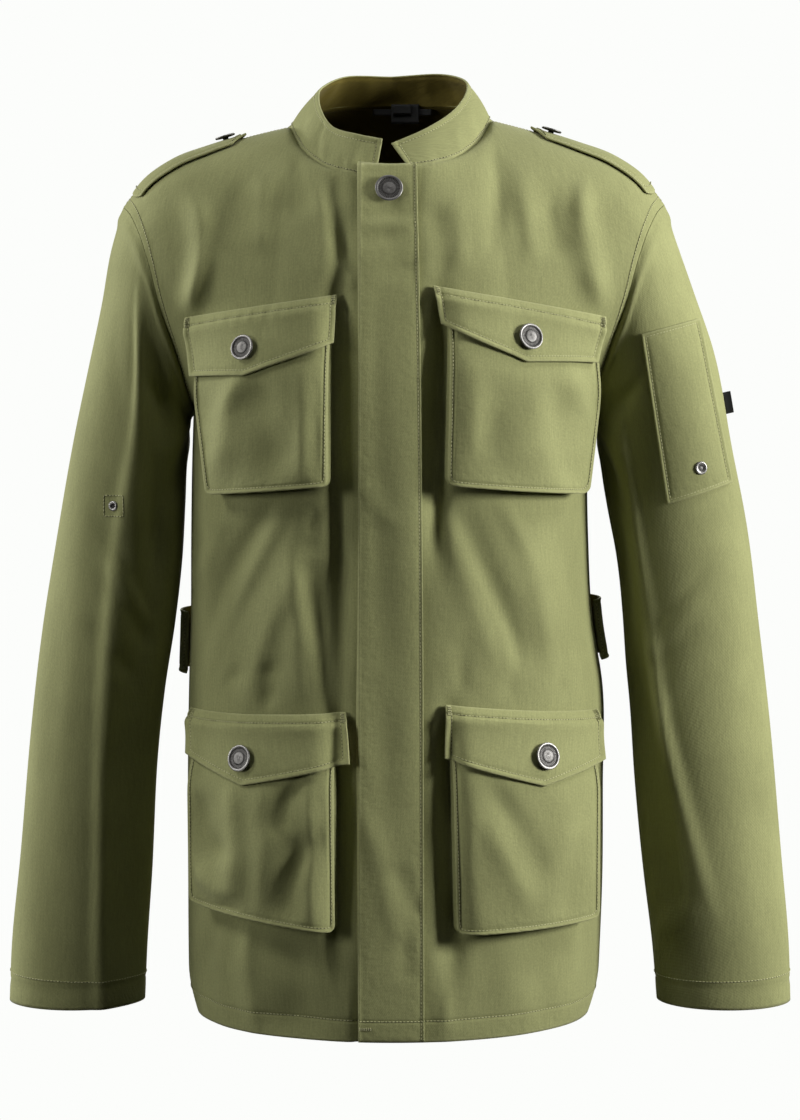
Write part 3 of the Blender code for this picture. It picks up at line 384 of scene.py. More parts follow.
@dataclass
class JacketForm:
    """The worn shape: body rings, necklines, shoulder seams, armholes and sleeves."""

    hem_z: float = -0.745
    armpit_z: float = -0.2383
    side_y: float = 0.003
    lower: float = 0.55
    neck_share: float = 0.40
    neck_reach: float = 0.125
    neck_reach_slope: float = 1.15
    neck_steps: tuple[tuple[float, float], ...] = ((0.0008, 0.0002), (0.0018, 0.00035), (0.0030, 0.0005))
    neck_half: float = 0.087
    shoulder_run: float = 0.138
    cuff_z: float = -0.740
    lap_step: float = 0.0034
    lap_edge: float = -0.0345
    lap_run: float = 0.0085
    hem_turn: float = 0.034
    hem_draw: float = 0.055
    body: tuple[BodyRing, ...] = in_mm(
        BodyRing, (-745, 172.8, 174.5, -138.5, 124, 2.12), (-699, 173.2, 176.5, -138.5, 124.5, 2.12),
        (-638, 173.2, 178.5, -137, 123, 2.12), (-557, 173, 178.5, -134.5, 119, 2.14),
        (-470, 171.3, 177.5, -131, 114, 2.16), (-417, 169.5, 169, -129, 111, 2.18),
        (-347, 168.7, 164.8, -128.5, 113, 2.18), (-288, 167.6, 163.7, -129, 120, 2.16),
        (-238, 165.9, 164.9, -129, 125, 2.14))
    centre_front: tuple[Centre, ...] = in_mm(
        Centre, (-238.3, -129), (-199, -127.5), (-159.8, -122.5), (-120.7, -113.5), (-86.6, -101),
        (-62.2, -90.5), (-42.8, -83))
    centre_back: tuple[Centre, ...] = in_mm(
        Centre, (-238.3, 125), (-179.4, 127), (-120.7, 122), (-71.9, 108), (-28.2, 86), (13.4, 61))
    neck_right_front: tuple[Edge, ...] = in_mm(
        Edge, (0, 0, -86.8, -52.5), (0.25, 32.2, -81.5, -48.2), (0.5, 56, -64, -40.4),
        (0.75, 74.5, -34.5, -25.4), (1, 85.6, 3, -6))
    neck_left_front: tuple[Edge, ...] = in_mm(
        Edge, (0, 0, -83, -42.8), (0.25, 31.2, -78.5, -40.1), (0.5, 54.5, -61.5, -33.1),
        (0.75, 72.5, -34, -18.6), (1, 83.2, 3, -0.7))
    neck_right_back: tuple[Edge, ...] = in_mm(
        Edge, (0, 0, 61, 13.4), (0.25, 31.1, 58, 12.6), (0.5, 58.3, 49, 9.5), (0.75, 77.8, 30, 2.7),
        (1, 85.6, 3, -6))
    neck_left_back: tuple[Edge, ...] = in_mm(
        Edge, (0, 0, 61, 13.4), (0.25, 30.6, 58, 13.2), (0.5, 57.4, 49, 11.4), (0.75, 75.9, 30, 6.6),
        (1, 83.2, 3, -0.7))
    shoulder_right: tuple[Edge, ...] = in_mm(
        Edge, (0, 85.6, 3, -6), (0.25, 117.8, 3, -13.7), (0.5, 151.5, 3, -24), (0.7, 181.5, 3, -35.5),
        (0.85, 204.5, 3, -50), (1, 223.5, 3, -71.5))
    shoulder_left: tuple[Edge, ...] = in_mm(
        Edge, (0, 83.2, 3, -0.7), (0.25, 117.7, 3, -9.8), (0.5, 153, 3, -21), (0.7, 185, 3, -33),
        (0.85, 208, 3, -47.5), (1, 226.8, 3, -69.5))
    armhole_front: tuple[Edge, ...] = in_mm(
        Edge, (0, 165.9, 3, -238.3), (0.13, 167.3, -17, -229.5), (0.32, 175.4, -38, -195.1),
        (0.52, 187.8, -49, -153.9), (0.7, 196.4, -47, -117.7), (0.86, 205.9, -33, -90.4),
        (0.95, 213.6, -15, -77.3), (1, 219.4, 3, -72.4))
    armhole_back: tuple[Edge, ...] = in_mm(
        Edge, (0, 165.9, 3, -238.3), (0.13, 166.8, 25, -227.5), (0.32, 172.4, 47, -192.1),
        (0.52, 181, 58, -151.9), (0.7, 190.5, 56, -115.8), (0.86, 203, 41, -88.5),
        (0.95, 212.7, 21, -76.8), (1, 219.4, 3, -72.4))
    sleeve_right: tuple[SleeveRow, ...] = in_mm(
        SleeveRow, (0, 168.3, -239.8, 223.5, -71.5, 4, 50, 56),
        (0.08, 171.4, -260, 234.5, -109.5, 3, 52, 57), (0.16, 173.1, -287.6, 241.5, -150, 2, 53, 57),
        (0.27, 174.1, -322.3, 253, -204.9, 0, 53, 56), (0.38, 176.5, -367, 266.8, -269.9, -2, 52, 54),
        (0.5, 182.8, -420.8, 280.3, -343.1, -4, 50, 52), (0.62, 191.6, -476.8, 293.5, -421.8, -6, 49, 50),
        (0.74, 198.5, -542.1, 304.4, -509.9, -7, 47, 48), (0.86, 203.2, -633.1, 314.6, -617.9, -8, 46, 46),
        (0.94, 207.7, -695.1, 322.4, -690, -8, 45, 45), (1, 210, -740, 325, -740, -8, 45, 44))
    sleeve_left: tuple[SleeveRow, ...] = in_mm(
        SleeveRow, (0, 167.3, -239.8, 226.8, -69.5, 4, 50, 56),
        (0.08, 172.4, -260, 239.5, -108, 3, 52, 57), (0.16, 175, -284.7, 253.5, -148, 2, 53, 57),
        (0.27, 180.2, -322.3, 271.8, -203.9, 0, 53, 56), (0.38, 187.4, -367, 284, -268.9, -2, 52, 54),
        (0.5, 193.2, -420.8, 298.5, -342.1, -4, 50, 52), (0.62, 198.1, -476.8, 308.8, -421.8, -6, 49, 50),
        (0.74, 203.5, -542.1, 319.3, -509.9, -7, 47, 48), (0.86, 213.2, -633.1, 329.5, -617.9, -8, 46, 46),
        (0.94, 221.1, -695.1, 336.4, -690, -8, 45, 45), (1, 225, -740, 338.5, -740, -8, 45, 44))
    # the largest folds of the fronts, which the solids have too
    front_folds: tuple[Crease, ...] = in_mm(
        Crease, (-40, -111, -41, -427, 11, -6.5), (-41, -467, -41, -690, 10, -5),
        (37, -160, 36, -357, 10, -6.5), (46, -477, 48, -690, 10, -4.5),
        (-89, -327, -149, -467, 11, -5, 4, 0.25), (-65, -342, -121, -477, 12, 3.5, 4),
        (69, -367, 119, -447, 14, -3, -3))
    # smaller ones, laid where the cloth is drawn by a seam or a pocket
    front_creases: tuple[Crease, ...] = in_mm(
        Crease, (-40, -142, -41, -470, 9.5, -6.5), (-40, -485, -40, -690, 9, -6),
        (36.5, -140, 35.5, -330, 8.5, -6.5), (44, -490, 46, -685, 8.5, -5.5),
        (-43, -52, -32, -126, 8, -6.3, 2), (-59, -60, -48, -136, 9, 2.7, -2),
        (-40, -117, -30, -138, 3.5, 1.4), (-76, -34, -74, -82, 9, -3.6, 2),
        (-97, -40, -107, -106, 10, 3.6, 2), (-125, -52, -118, -120, 13, -3, 4),
        (-156, -70, -166, -160, 10, 9, -5), (34, -75, 40, -128, 8, -2.2, -2),
        (56, -62, 56, -125, 9, 1.8, 2), (83, -34, 80, -110, 9, -3, -2), (103, -38, 112, -114, 9, 3.2, -2),
        (130, -58, 134, -112, 9, -2.2, 2), (156, -56, 170, -150, 10, 7, 5),
        (-100, -318, -156, -442, 8.5, -6.3, 5, 0.25), (-92, -330, -136, -430, 9, 5.4, 4),
        (-66, -350, -53, -466, 8, -5.4, -3), (-83, -356, -75, -462, 9.5, 3.9, -4),
        (-60, -316, -64, -350, 7, -2.4, 1), (-136, -322, -158, -380, 8, 3.3, 2),
        (-95, -440, -100, -474, 7, -3, 1), (-122, -446, -140, -478, 7, -3, 2),
        (47, -306, 104, -444, 8.5, -3.4, -5, -0.25), (91, -312, 130, -432, 9, 2.7, -6),
        (36, -316, 79, -432, 9, 2.2, -4), (120, -310, 154, -410, 8.5, -2.1, -3),
        (98, -446, 96, -470, 7, -1.4, 1), (56, -420, 58, -464, 8, -1.6, 1),
        (144, -430, 138, -472, 8.5, -1.6, 2), (-72, -662, -76, -742, 24, -5.6, 3),
        (-119, -655, -114, -738, 8, 3.6, 2), (-148, -648, -152, -742, 11, -6.4, 2, 0.3),
        (44, -660, 44, -740, 8, 2, 1), (76, -668, 82, -740, 16, -1.8, 3),
        (116, -662, 124, -740, 14, -2.4, -3), (150, -660, 153, -742, 10, 2, -2))
    back_creases: tuple[Crease, ...] = in_mm(
        Crease, (-66, -100, -58, -430, 26, -5.1, 8), (62, -90, 55, -410, 26, -5.1, -7),
        (0, -70, 4, -330, 34, 3.9, 4), (-98, -90, -86, -330, 20, 3.9, -6), (96, -82, 86, -310, 20, 3.9, 6),
        (-152, -428, -88, -404, 10, -5.1, 5, 0.3), (-150, -440, -78, -448, 10, 3.9, -3),
        (-152, -455, -96, -500, 11, -4.5, -5), (150, -416, 86, -396, 10, -5.1, -5, -0.3),
        (150, -430, 76, -440, 10, 3.9, 3), (152, -446, 98, -492, 11, -4.5, 5),
        (-30, -420, -36, -735, 24, 4.2, 7), (-92, -470, -100, -735, 22, -4.5, -6),
        (26, -440, 34, -738, 24, -4.2, -7), (90, -465, 98, -735, 22, 4.5, 6),
        (-148, -130, -118, -190, 12, -4.5, 5), (146, -125, 118, -186, 12, -4.5, -5),
        (-150, -175, -112, -250, 12, 3.6, 5), (149, -170, 114, -246, 12, 3.6, -5))
    # round the sleeve (0 outer line, 0.0825 front, 0.165 under line) and down it
    creases_right: tuple[Crease, ...] = in_mm(
        Crease, (80, 40, 87, 240, 8, 5, 3, 0.4), (84, 230, 106, 600, 8, 5.2, -4, 0.4),
        (112, 50, 118, 260, 17, -8, 2), (116, 240, 134, 590, 18, -5, -3), (60, 110, 70, 300, 19, -1.6, 4),
        (40, 330, 60, 560, 18, -1.4, -4), (150, 20, 98, 96, 9, -3.8, 4, 0.3),
        (158, 40, 116, 140, 9, 2.6, 3), (160, 58, 128, 178, 9, -3.2, 3),
        (60, 262, 118, 290, 8, -1.4, 4, 0.3), (72, 286, 122, 310, 7, 1.2, 3),
        (78, 306, 128, 330, 8, -1.4, 3), (70, 345, 116, 370, 9, -1.8, 2),
        (188, 30, 236, 104, 10, -3.6, -4), (180, 60, 222, 150, 10, 2.8, -4),
        (196, 262, 262, 286, 9, -3, 4), (192, 292, 258, 306, 9, 2.6, 3), (200, 318, 254, 340, 9, -2.6, 3),
        (232, 150, 226, 560, 20, -2.6, 6), (280, 90, 288, 520, 20, 1.6, 5), (18, 60, 20, 300, 16, 1, 4))
    creases_left: tuple[Crease, ...] = in_mm(
        Crease, (128, 80, 119, 345, 8, 4.4, -3, 0.4), (119, 330, 96, 520, 8, 5.6, 4, 0.4),
        (150, 60, 148, 360, 16, -6, 2), (148, 330, 126, 530, 18, -5.6, 3), (104, 535, 148, 560, 8, 2.4, 3),
        (22, 310, 46, 570, 17, -1.4, 4), (152, 24, 104, 90, 9, -3.6, 4, 0.3),
        (158, 46, 122, 136, 9, 2.6, 3), (160, 64, 132, 182, 9, -3.2, 3),
        (64, 300, 122, 318, 9, -1, 3, 0.3), (76, 322, 126, 340, 8, 0.8, 3), (82, 342, 128, 362, 9, -1, 3),
        (50, 372, 104, 398, 9, -0.8, 3), (186, 32, 234, 100, 10, -3.6, -4),
        (182, 64, 220, 154, 10, 2.8, -4), (198, 270, 260, 290, 9, -3, 4), (194, 298, 256, 312, 9, 2.6, 3),
        (202, 326, 252, 346, 9, -2.6, 3), (236, 160, 230, 560, 20, -2.6, 6),
        (284, 96, 290, 520, 20, 1.6, 5), (14, 50, 16, 160, 16, 1, 4))

    def __post_init__(self) -> None:
        """Read the rows into tables."""
        self.rings = Table(self.body)
        self.centres = {Face.FRONT: Table(self.centre_front), Face.BACK: Table(self.centre_back)}
        self.necks = {(Side.RIGHT, Face.FRONT): Table(self.neck_right_front),
                      (Side.LEFT, Face.FRONT): Table(self.neck_left_front),
                      (Side.RIGHT, Face.BACK): Table(self.neck_right_back),
                      (Side.LEFT, Face.BACK): Table(self.neck_left_back)}
        self.shoulders = {Side.RIGHT: Table(self.shoulder_right), Side.LEFT: Table(self.shoulder_left)}
        self.holes = {Face.FRONT: Table(self.armhole_front), Face.BACK: Table(self.armhole_back)}
        self.arms = {Side.RIGHT: Table(self.sleeve_right), Side.LEFT: Table(self.sleeve_left)}
        self.sleeve_creases = {Side.RIGHT: self.creases_right, Side.LEFT: self.creases_left}

    def ring(self, side: Side, face: Face, z: Array, s: Array) -> Array:
        """Body ring: a superellipse quarter, s = 0 at the centre and 1 at the side seam.

        Args:
            side: the wearer's side.
            face: front or back.
            z: height.
            s: share across.

        Returns:
            Points with x positive on both sides.
        """
        half = self.rings.at("half_" + side.value, z)
        depth = self.rings.at("y_" + face.value, z)
        power = 2.0 / self.rings.at("square", z)
        angle = np.abs(s) * math.pi / 2
        x = np.sign(s) * half * np.sin(angle) ** power
        y = self.side_y + (depth - self.side_y) * np.maximum(np.cos(angle), 0.0) ** power
        return np.stack([x, y, z + 0 * s], axis=-1)

    def under_lap(self, x: Array) -> Array:
        """How far the right front and the collar's right end step in under the lap."""
        return self.lap_step * ease((x - self.lap_edge) / self.lap_run)

    def top_edge(self, side: Side, face: Face, s: Array) -> Array:
        """Neckline up to the neck's share of the width, then the shoulder seam."""
        a = np.abs(s)
        neck = self.necks[side, face].point(a / self.neck_share)
        seam = self.shoulders[side].point((a - self.neck_share) / (1 - self.neck_share))
        edge = np.where((a < self.neck_share)[..., None], neck, seam)
        edge[..., 0] *= np.where(s < 0, -1.0, 1.0)
        return edge

    def armhole(self, side: Side, face: Face, share: Array) -> Array:
        """Armhole line, shifted so that it ends on the shoulder tip and the body ring."""
        table = self.holes[face]
        tip = self.shoulders[side].point(1.0)
        foot = self.ring(side, face, np.array(self.armpit_z), np.array(1.0))
        up = np.asarray(share)[..., None]
        return (table.point(share) + up * (tip - table.point(1.0))
                + (1 - up) * (foot - table.point(0.0)))

    def panel(self, side: Side, face: Face, s: Array, t: Array, creased: bool = True) -> Array:
        """Point of a front or back.

        Below the armpit the rows are rings.  Above it each row passes from the ring at
        the armpit to the neckline and shoulder seam on a quarter ellipse, and is drawn
        to the centre line on one side and to the armhole on the other.

        Args:
            side: the wearer's side.
            face: front or back.
            s: share across, 0 at the centre and 1 at the side seam.
            t: share up, 0 at the hem and 1 at the top.
            creased: with folds and creases.

        Returns:
            Points of the cloth's outer face.
        """
        s, t = paired(s, t)
        rise = self.armpit_z - self.hem_z
        low = self.ring(side, face, self.hem_z + rise * np.minimum(t / self.lower, 1), s)
        tau = np.clip((t - self.lower) / (1 - self.lower), 0, 1)
        w, lift = np.sin(tau * math.pi / 2), 1 - np.cos(tau * math.pi / 2)

        def blend(at: Array) -> Array:
            """The armpit's ring mixed with the top edge; y follows the ellipse."""
            bottom = self.ring(side, face, np.full(at.shape, self.armpit_z), at)
            top = self.top_edge(side, face, at)
            mixed = bottom * (1 - w)[..., None] + top * w[..., None]
            mixed[..., 1] = bottom[..., 1] * (1 - lift) + top[..., 1] * lift
            return mixed

        base, centre, outer = blend(s), blend(np.zeros_like(s)), blend(np.ones_like(s))
        wanted = centre.copy()
        wanted[..., 1] = self.centres[face].at("y", centre[..., 2])
        a = np.clip(np.abs(s), 0, 1)
        high = (base + (wanted - centre) * ((1 - a) ** 2)[..., None]
                + (self.armhole(side, face, w) - outer) * (a ** 2.2)[..., None])
        points = np.where((t <= self.lower)[..., None], low, high)
        near_hem = 1 - np.clip((points[..., 2] - self.hem_z) / self.hem_turn, 0, 1)
        points[..., 0] *= side.sign * (1 - self.hem_draw * near_hem ** 2 * a ** 4)
        if creased:
            x, z = points[..., 0], points[..., 2]
            if face is Face.FRONT:
                calm = (1 - a ** 8) * (1 - ease((tau - 0.6) / 0.4))
                points[..., 1] -= relief_of(self.front_folds, x, z) * calm
                points[..., 1] -= relief_of(self.front_creases, x, z) * (1 - a ** 10)
            else:
                points[..., 1] += relief_of(self.back_creases, x, z) * (1 - a ** 10) * (1 - tau ** 6)
        return points

    def into_collar(self, edge: Array) -> Array:
        """Three lines that carry a neckline up inside the collar's wall, as its seam does.

        Args:
            edge: points of the neckline.

        Returns:
            The lines, in order from the edge.
        """
        above = np.stack([0 * edge[:, 0], 0 * edge[:, 0] + NECK_MIDDLE[1],
                          self.neck_reach + self.neck_reach_slope * np.maximum(edge[:, 1], 0.0)],
                         axis=-1)
        rise = unit(above - edge)
        inward = unit(NECK_MIDDLE - edge * [1.0, 1.0, 0.0])
        return np.stack([edge + rise * up + inward * back for up, back in self.neck_steps])

    def over_front(self, side: Side, x: Array, z: Array, out: Array | float) -> Array:
        """Points over a front seen at (x, z), moved out along its smooth normal.

        Args:
            side: which front.
            x: places' x.
            z: places' z.
            out: distance off the cloth.

        Returns:
            The points.
        """
        x, z, out = paired(x, z, out)
        smooth = partial(self.panel, side, Face.FRONT, creased=False)
        t0 = np.where(z < self.armpit_z, self.lower * (z - self.hem_z) / (self.armpit_z - self.hem_z),
                      self.lower + (1 - self.lower) * 0.6 * (z - self.armpit_z) / 0.2)
        s0 = np.arcsin(np.clip(side.sign * x / 0.19, -0.95, 0.95)) * 2 / math.pi
        s, t = locate(smooth, s0, t0, np.stack([x, z], axis=-1))
        base = self.panel(side, Face.FRONT, s, np.clip(t, 0, 1))
        inside = np.stack([0 * x, 0 * x, z - 0.02], axis=-1)
        normal = normals_of(smooth, s, np.clip(t, 0.001, 0.999), inside)
        return base + normal * out[..., None]

    def over_shoulder(self, side: Side, x: Array, y: Array) -> tuple[Array, Array]:
        """Points of the shoulder's top seen from above at (x, y), and their normals."""
        x, y = paired(x, y)
        points, normals = np.zeros(x.shape + (3,)), np.zeros(x.shape + (3,))
        for face in Face:
            smooth = partial(self.panel, side, face, creased=False)
            pick = y <= self.side_y if face is Face.FRONT else y > self.side_y
            if not pick.any():
                continue
            s0 = (self.neck_share + (1 - self.neck_share) * (np.abs(x[pick]) - self.neck_half)
                  / self.shoulder_run)
            s, t = locate(smooth, s0, np.full(s0.shape, 0.93), np.stack([x[pick], y[pick]], axis=-1), (0, 1))
            t = np.clip(t, 0.6, 0.998)
            points[pick] = smooth(s, t)
            normals[pick] = normals_of(smooth, s, t, np.array([side.sign * 0.12, 0, -0.25]))
        return points, normals

    def sleeve(self, side: Side, q: Array, v: Array, creased: bool = True) -> Array:
        """Point of a sleeve.

        Each row is an ellipse between the under line and the outer line; the first
        rows pass over to the armhole's own line.  Creases move it along its normal.

        Args:
            side: which sleeve.
            q: turn round it, 0 on the outer line, 0.25 in front and 0.5 below.
            v: share down it, 0 at the armhole and 1 at the cuff.
            creased: with creases.

        Returns:
            Points of the cloth's outer face.
        """
        q, v = paired(q, v)
        rows, angle = self.arms[side], q * 2 * math.pi

        def ellipse(at: Array) -> Array:
            """One row's ellipse, deeper behind than in front."""
            inner = np.stack([rows.at("x_in", at), rows.at("z_in", at)], axis=-1)
            outer = np.stack([rows.at("x_out", at), rows.at("z_out", at)], axis=-1)
            flat = (inner + outer) / 2 + (outer - inner) / 2 * np.cos(angle)[..., None]
            depth = np.where(np.sin(angle) > 0, rows.at("fore", at), rows.at("aft", at))
            return np.stack([flat[..., 0], rows.at("y", at) - depth * np.sin(angle), flat[..., 1]], axis=-1)

        here, first = ellipse(v), ellipse(np.zeros_like(v))
        tau = 1 - np.abs(1 - 2 * np.mod(q, 1.0))
        w = np.sin((1 - tau) * math.pi / 2)
        loop = np.where((np.sin(angle) >= 0)[..., None], self.armhole(side, Face.FRONT, w),
                        self.armhole(side, Face.BACK, w))
        fade = (1 - np.clip(v / 0.42, 0, 1)) ** 2
        points = here + (loop - first) * fade[..., None]
        if creased:
            around, down = np.mod(q, 1.0) * SLEEVE_GIRTH, v * SLEEVE_LENGTH
            height = relief_of(self.sleeve_creases[side], around, down)
            height = height + relief_of(self.sleeve_creases[side], around - SLEEVE_GIRTH, down)
            height = height * ease(v / 0.05)
            middle = (rows.at("x_in", v) + rows.at("x_out", v)) / 2
            away = np.stack([points[..., 0] - middle, points[..., 1] - rows.at("y", v), 0 * middle], axis=-1)
            points = points + unit(away) * height[..., None]
        points[..., 0] *= side.sign
        return points

    def over_sleeve(self, side: Side, x: Array, z: Array, out: Array | float) -> Array:
        """Points over the front half of a sleeve seen at (x, z), moved out along its normal."""
        x, z, out = paired(x, z, out)
        smooth = partial(self.sleeve, side, creased=False)
        q, v = locate(smooth, 0.2 + 0 * x, np.clip((-z - 0.13) / 0.6, 0.05, 0.95), np.stack([x, z], axis=-1))
        q, v = np.clip(q, 0.01, 0.49), np.clip(v, 0.01, 0.99)
        centre = (smooth(q * 0, v) + smooth(q * 0 + 0.5, v)) / 2
        return self.sleeve(side, q, v) + normals_of(smooth, q, v, centre) * out[..., None]


# ---------------------------------------------------------------- finishes
def linear(hex_colour: str) -> tuple[float, float, float, float]:
    """A hex sRGB colour as linear RGBA.

    Args:
        hex_colour: six hex digits.

    Returns:
        The colour in linear light, with alpha 1.
    """
    parts = [int(hex_colour[i:i + 2], 16) / 255 for i in (0, 2, 4)]
    red, green, blue = (c / 12.92 if c <= 0.04045 else ((c + 0.055) / 1.055) ** 2.4 for c in parts)
    return red, green, blue, 1.0


def fill(node: bpy.types.Node, inputs: dict[str | int, Any]) -> None:
    """Fill or link a node's inputs.

    Args:
        node: the node.
        inputs: by input name or number: values, output sockets to link, or nodes,
            which stand for their first output.
    """
    for key, value in inputs.items():
        value = value.outputs[0] if isinstance(value, bpy.types.Node) else value
        if isinstance(value, bpy.types.NodeSocket):
            node.id_data.links.new(value, node.inputs[key])
        else:
            node.inputs[key].default_value = value


def add_node(tree: bpy.types.NodeTree, kind: str, inputs: dict[str | int, Any] | None = None,
             **settings: Any) -> bpy.types.Node:
    """Add a node, set its properties and fill or link its inputs.

    Args:
        tree: the node tree.
        kind: the node's type, without its ShaderNode prefix.
        inputs: what to fill in or link.
        settings: properties to set.

    Returns:
        The node.
    """
    node = tree.nodes.new("ShaderNode" + kind)
    for key, value in settings.items():
        setattr(node, key, value)
    fill(node, inputs or {})
    return node


def principled(name: str) -> tuple[bpy.types.Material, Callable[..., bpy.types.Node], bpy.types.Node]:
    """A new material, add_node for its tree, and its Principled shader."""
    made = bpy.data.materials.new(name)
    made.use_nodes = True
    return made, partial(add_node, made.node_tree), made.node_tree.nodes["Principled BSDF"]


@dataclass(frozen=True)
class TwillFinish:
    """Cotton twill, woven, piece-dyed olive and pressed.

    The real weave is a diagonal rib about 0.5 mm apart; here it is drawn 1.5 mm apart,
    because a finer one is lost in the picture.  It gives a dry, matt face with a faint
    diagonal grain, cloudy dye, and paler threads where turned edges are rubbed.
    """

    name: str = "olive_cotton_twill"
    colour: str = "989a67"
    shade: str = "808254"
    rubbed: str = "b3b384"
    rib_mm: float = 1.5
    slope: float = 0.55
    thread_mm: float = 0.9
    cloud_mm: float = 90.0
    roughness: float = 0.86

    def make(self) -> bpy.types.Material:
        """Build the material from the piece's own cloth map, in millimetres.

        Returns:
            The material.
        """
        made, node, shader = principled(self.name)
        smooth = {"interpolation_type": "SMOOTHSTEP"}
        cloth = node("UVMap", uv_map="cloth_mm").outputs["UV"]
        parts = node("SeparateXYZ", {0: cloth})
        slant = node("Math", {0: parts.outputs["Y"], 1: self.slope, 2: parts.outputs["X"]},
                     operation="MULTIPLY_ADD")
        turn = node("Math", {0: slant, 1: 2 * math.pi / self.rib_mm}, operation="MULTIPLY")
        rib = node("Math", {0: turn}, operation="SINE")
        weft = node("Math", {0: parts.outputs["Y"], 1: 2 * math.pi / self.thread_mm}, operation="MULTIPLY")
        pick = node("Math", {0: weft}, operation="SINE")
        weave = node("Math", {0: pick, 1: 0.35, 2: rib}, operation="MULTIPLY_ADD")
        slub = node("TexNoise", {"Vector": cloth, "Scale": 0.55, "Detail": 4.0, "Roughness": 0.72})
        drawn_out = node("VectorMath", {0: cloth, 1: (0.85, 0.05, 1.0)}, operation="MULTIPLY")
        streak = node("TexNoise", {"Vector": drawn_out, "Scale": 1.0, "Detail": 3.0})
        place = node("TexCoord").outputs["Object"]
        cloud = node("TexNoise", {"Vector": place, "Scale": 1000.0 / self.cloud_mm, "Detail": 3.0})
        spread = node("MapRange", {0: cloud, 1: 0.36, 2: 0.64, 3: 0.1, 4: 0.5})
        dyed = node("Mix", {0: spread, 6: linear(self.colour), 7: linear(self.shade)}, data_type="RGBA")
        mixed = node("Math", {0: streak, 1: 0.55, 2: slub}, operation="MULTIPLY_ADD")
        grain = node("MapRange", {0: mixed, 1: 0.50, 2: 1.05, 3: 0.80, 4: 1.18})
        ribbed = node("Math", {0: weave, 1: 0.018, 2: grain}, operation="MULTIPLY_ADD")
        grained = node("Mix", {0: 1.0, 6: dyed.outputs[2], 7: ribbed}, data_type="RGBA",
                       blend_type="MULTIPLY")
        seam = node("Attribute", attribute_name="seam_mm").outputs["Fac"]
        wear = node("MapRange", {0: seam, 1: 0.4, 2: 3.0, 3: 0.55, 4: 0.0}, **smooth)
        worn = node("Math", {0: wear, 1: slub}, operation="MULTIPLY")
        edged = node("Mix", {0: worn, 6: grained.outputs[2], 7: linear(self.rubbed)}, data_type="RGBA")
        rough = node("MapRange", {0: slub, 1: 0.3, 2: 0.7,
                                  3: self.roughness - 0.05, 4: self.roughness + 0.05})
        pucker = node("TexNoise", {"Vector": cloth, "Scale": 0.16, "Detail": 2.0})
        near = node("MapRange", {0: seam, 1: 4.0, 2: 20.0, 3: 1.0, 4: 0.5}, **smooth)
        drawn = node("Math", {0: pucker, 1: near}, operation="MULTIPLY")
        low = node("Bump", {"Height": drawn, "Distance": 0.0009, "Strength": 0.6})
        fine = node("Math", {0: weave, 1: 0.2, 2: slub}, operation="MULTIPLY_ADD")
        high = node("Bump", {"Height": fine, "Distance": 0.00008, "Strength": 0.8, "Normal": low})
        fill(shader, {"Base Color": edged.outputs[2], "Roughness": rough, "Normal": high,
                      "Sheen Weight": 0.06, "Sheen Roughness": 0.6, "Specular IOR Level": 0.25})
        return made


@dataclass(frozen=True)
class ThreadFinish:
    """Spun polyester sewing thread, tone on tone: a paler strand; painted shade where it dips in."""

    name: str = "olive_sewing_thread"
    colour: str = "c3c292"
    shade: str = "a3a374"
    # colour of the needle holes at each stitch's ends: painted shade
    hole: str = "35371f"
    roughness: float = 0.62

    def make(self) -> bpy.types.Material:
        """Build the material: two tones in short lengths along the rows, and painted shade at the ends."""
        made, node, shader = principled(self.name)
        place = node("TexCoord").outputs["Object"]
        tone = node("TexNoise", {"Vector": place, "Scale": 240.0, "Detail": 1.0})
        mixed = node("Mix", {0: tone, 6: linear(self.shade), 7: linear(self.colour)}, data_type="RGBA")
        # darkness at the stitch's ends: painted shade of the needle holes
        hole_shade_mask = node("Attribute", attribute_name="hollow").outputs["Fac"]
        dipped = node("Mix", {0: hole_shade_mask, 6: mixed.outputs[2], 7: linear(self.hole)}, data_type="RGBA")
        fill(shader, {"Base Color": dipped.outputs[2], "Roughness": self.roughness})
        return made


@dataclass(frozen=True)
class MetalFinish:
    """Zinc die casting, plated antique silver: bright on what is rubbed, dark in hollows.

    The die leaves it smooth; the dark patina stays in the recesses, and the tumbled
    plating is a little uneven, which breaks up its shine.
    """

    name: str = "antique_silver_plate"
    bright: str = "8f8d89"
    patina: str = "2c2a28"
    roughness: float = 0.40

    def make(self) -> bpy.types.Material:
        """Build the material; the attribute "hollow" says where the patina lies."""
        made, node, shader = principled(self.name)
        place = node("TexCoord").outputs["Object"]
        hollow = node("Attribute", attribute_name="hollow").outputs["Fac"]
        speck = node("TexNoise", {"Vector": place, "Scale": 1100.0, "Detail": 3.0})
        uneven = node("MapRange", {0: speck, 1: 0.3, 2: 0.7, 3: -0.14, 4: 0.14})
        amount = node("Math", {0: hollow, 1: uneven}, operation="ADD", use_clamp=True)
        mixed = node("Mix", {0: amount, 6: linear(self.bright), 7: linear(self.patina)}, data_type="RGBA")
        rough = node("MapRange", {0: amount, 1: 0.0, 2: 1.0, 3: self.roughness, 4: self.roughness + 0.25})
        fill(shader, {"Base Color": mixed.outputs[2], "Roughness": rough, "Metallic": 0.92})
        return made


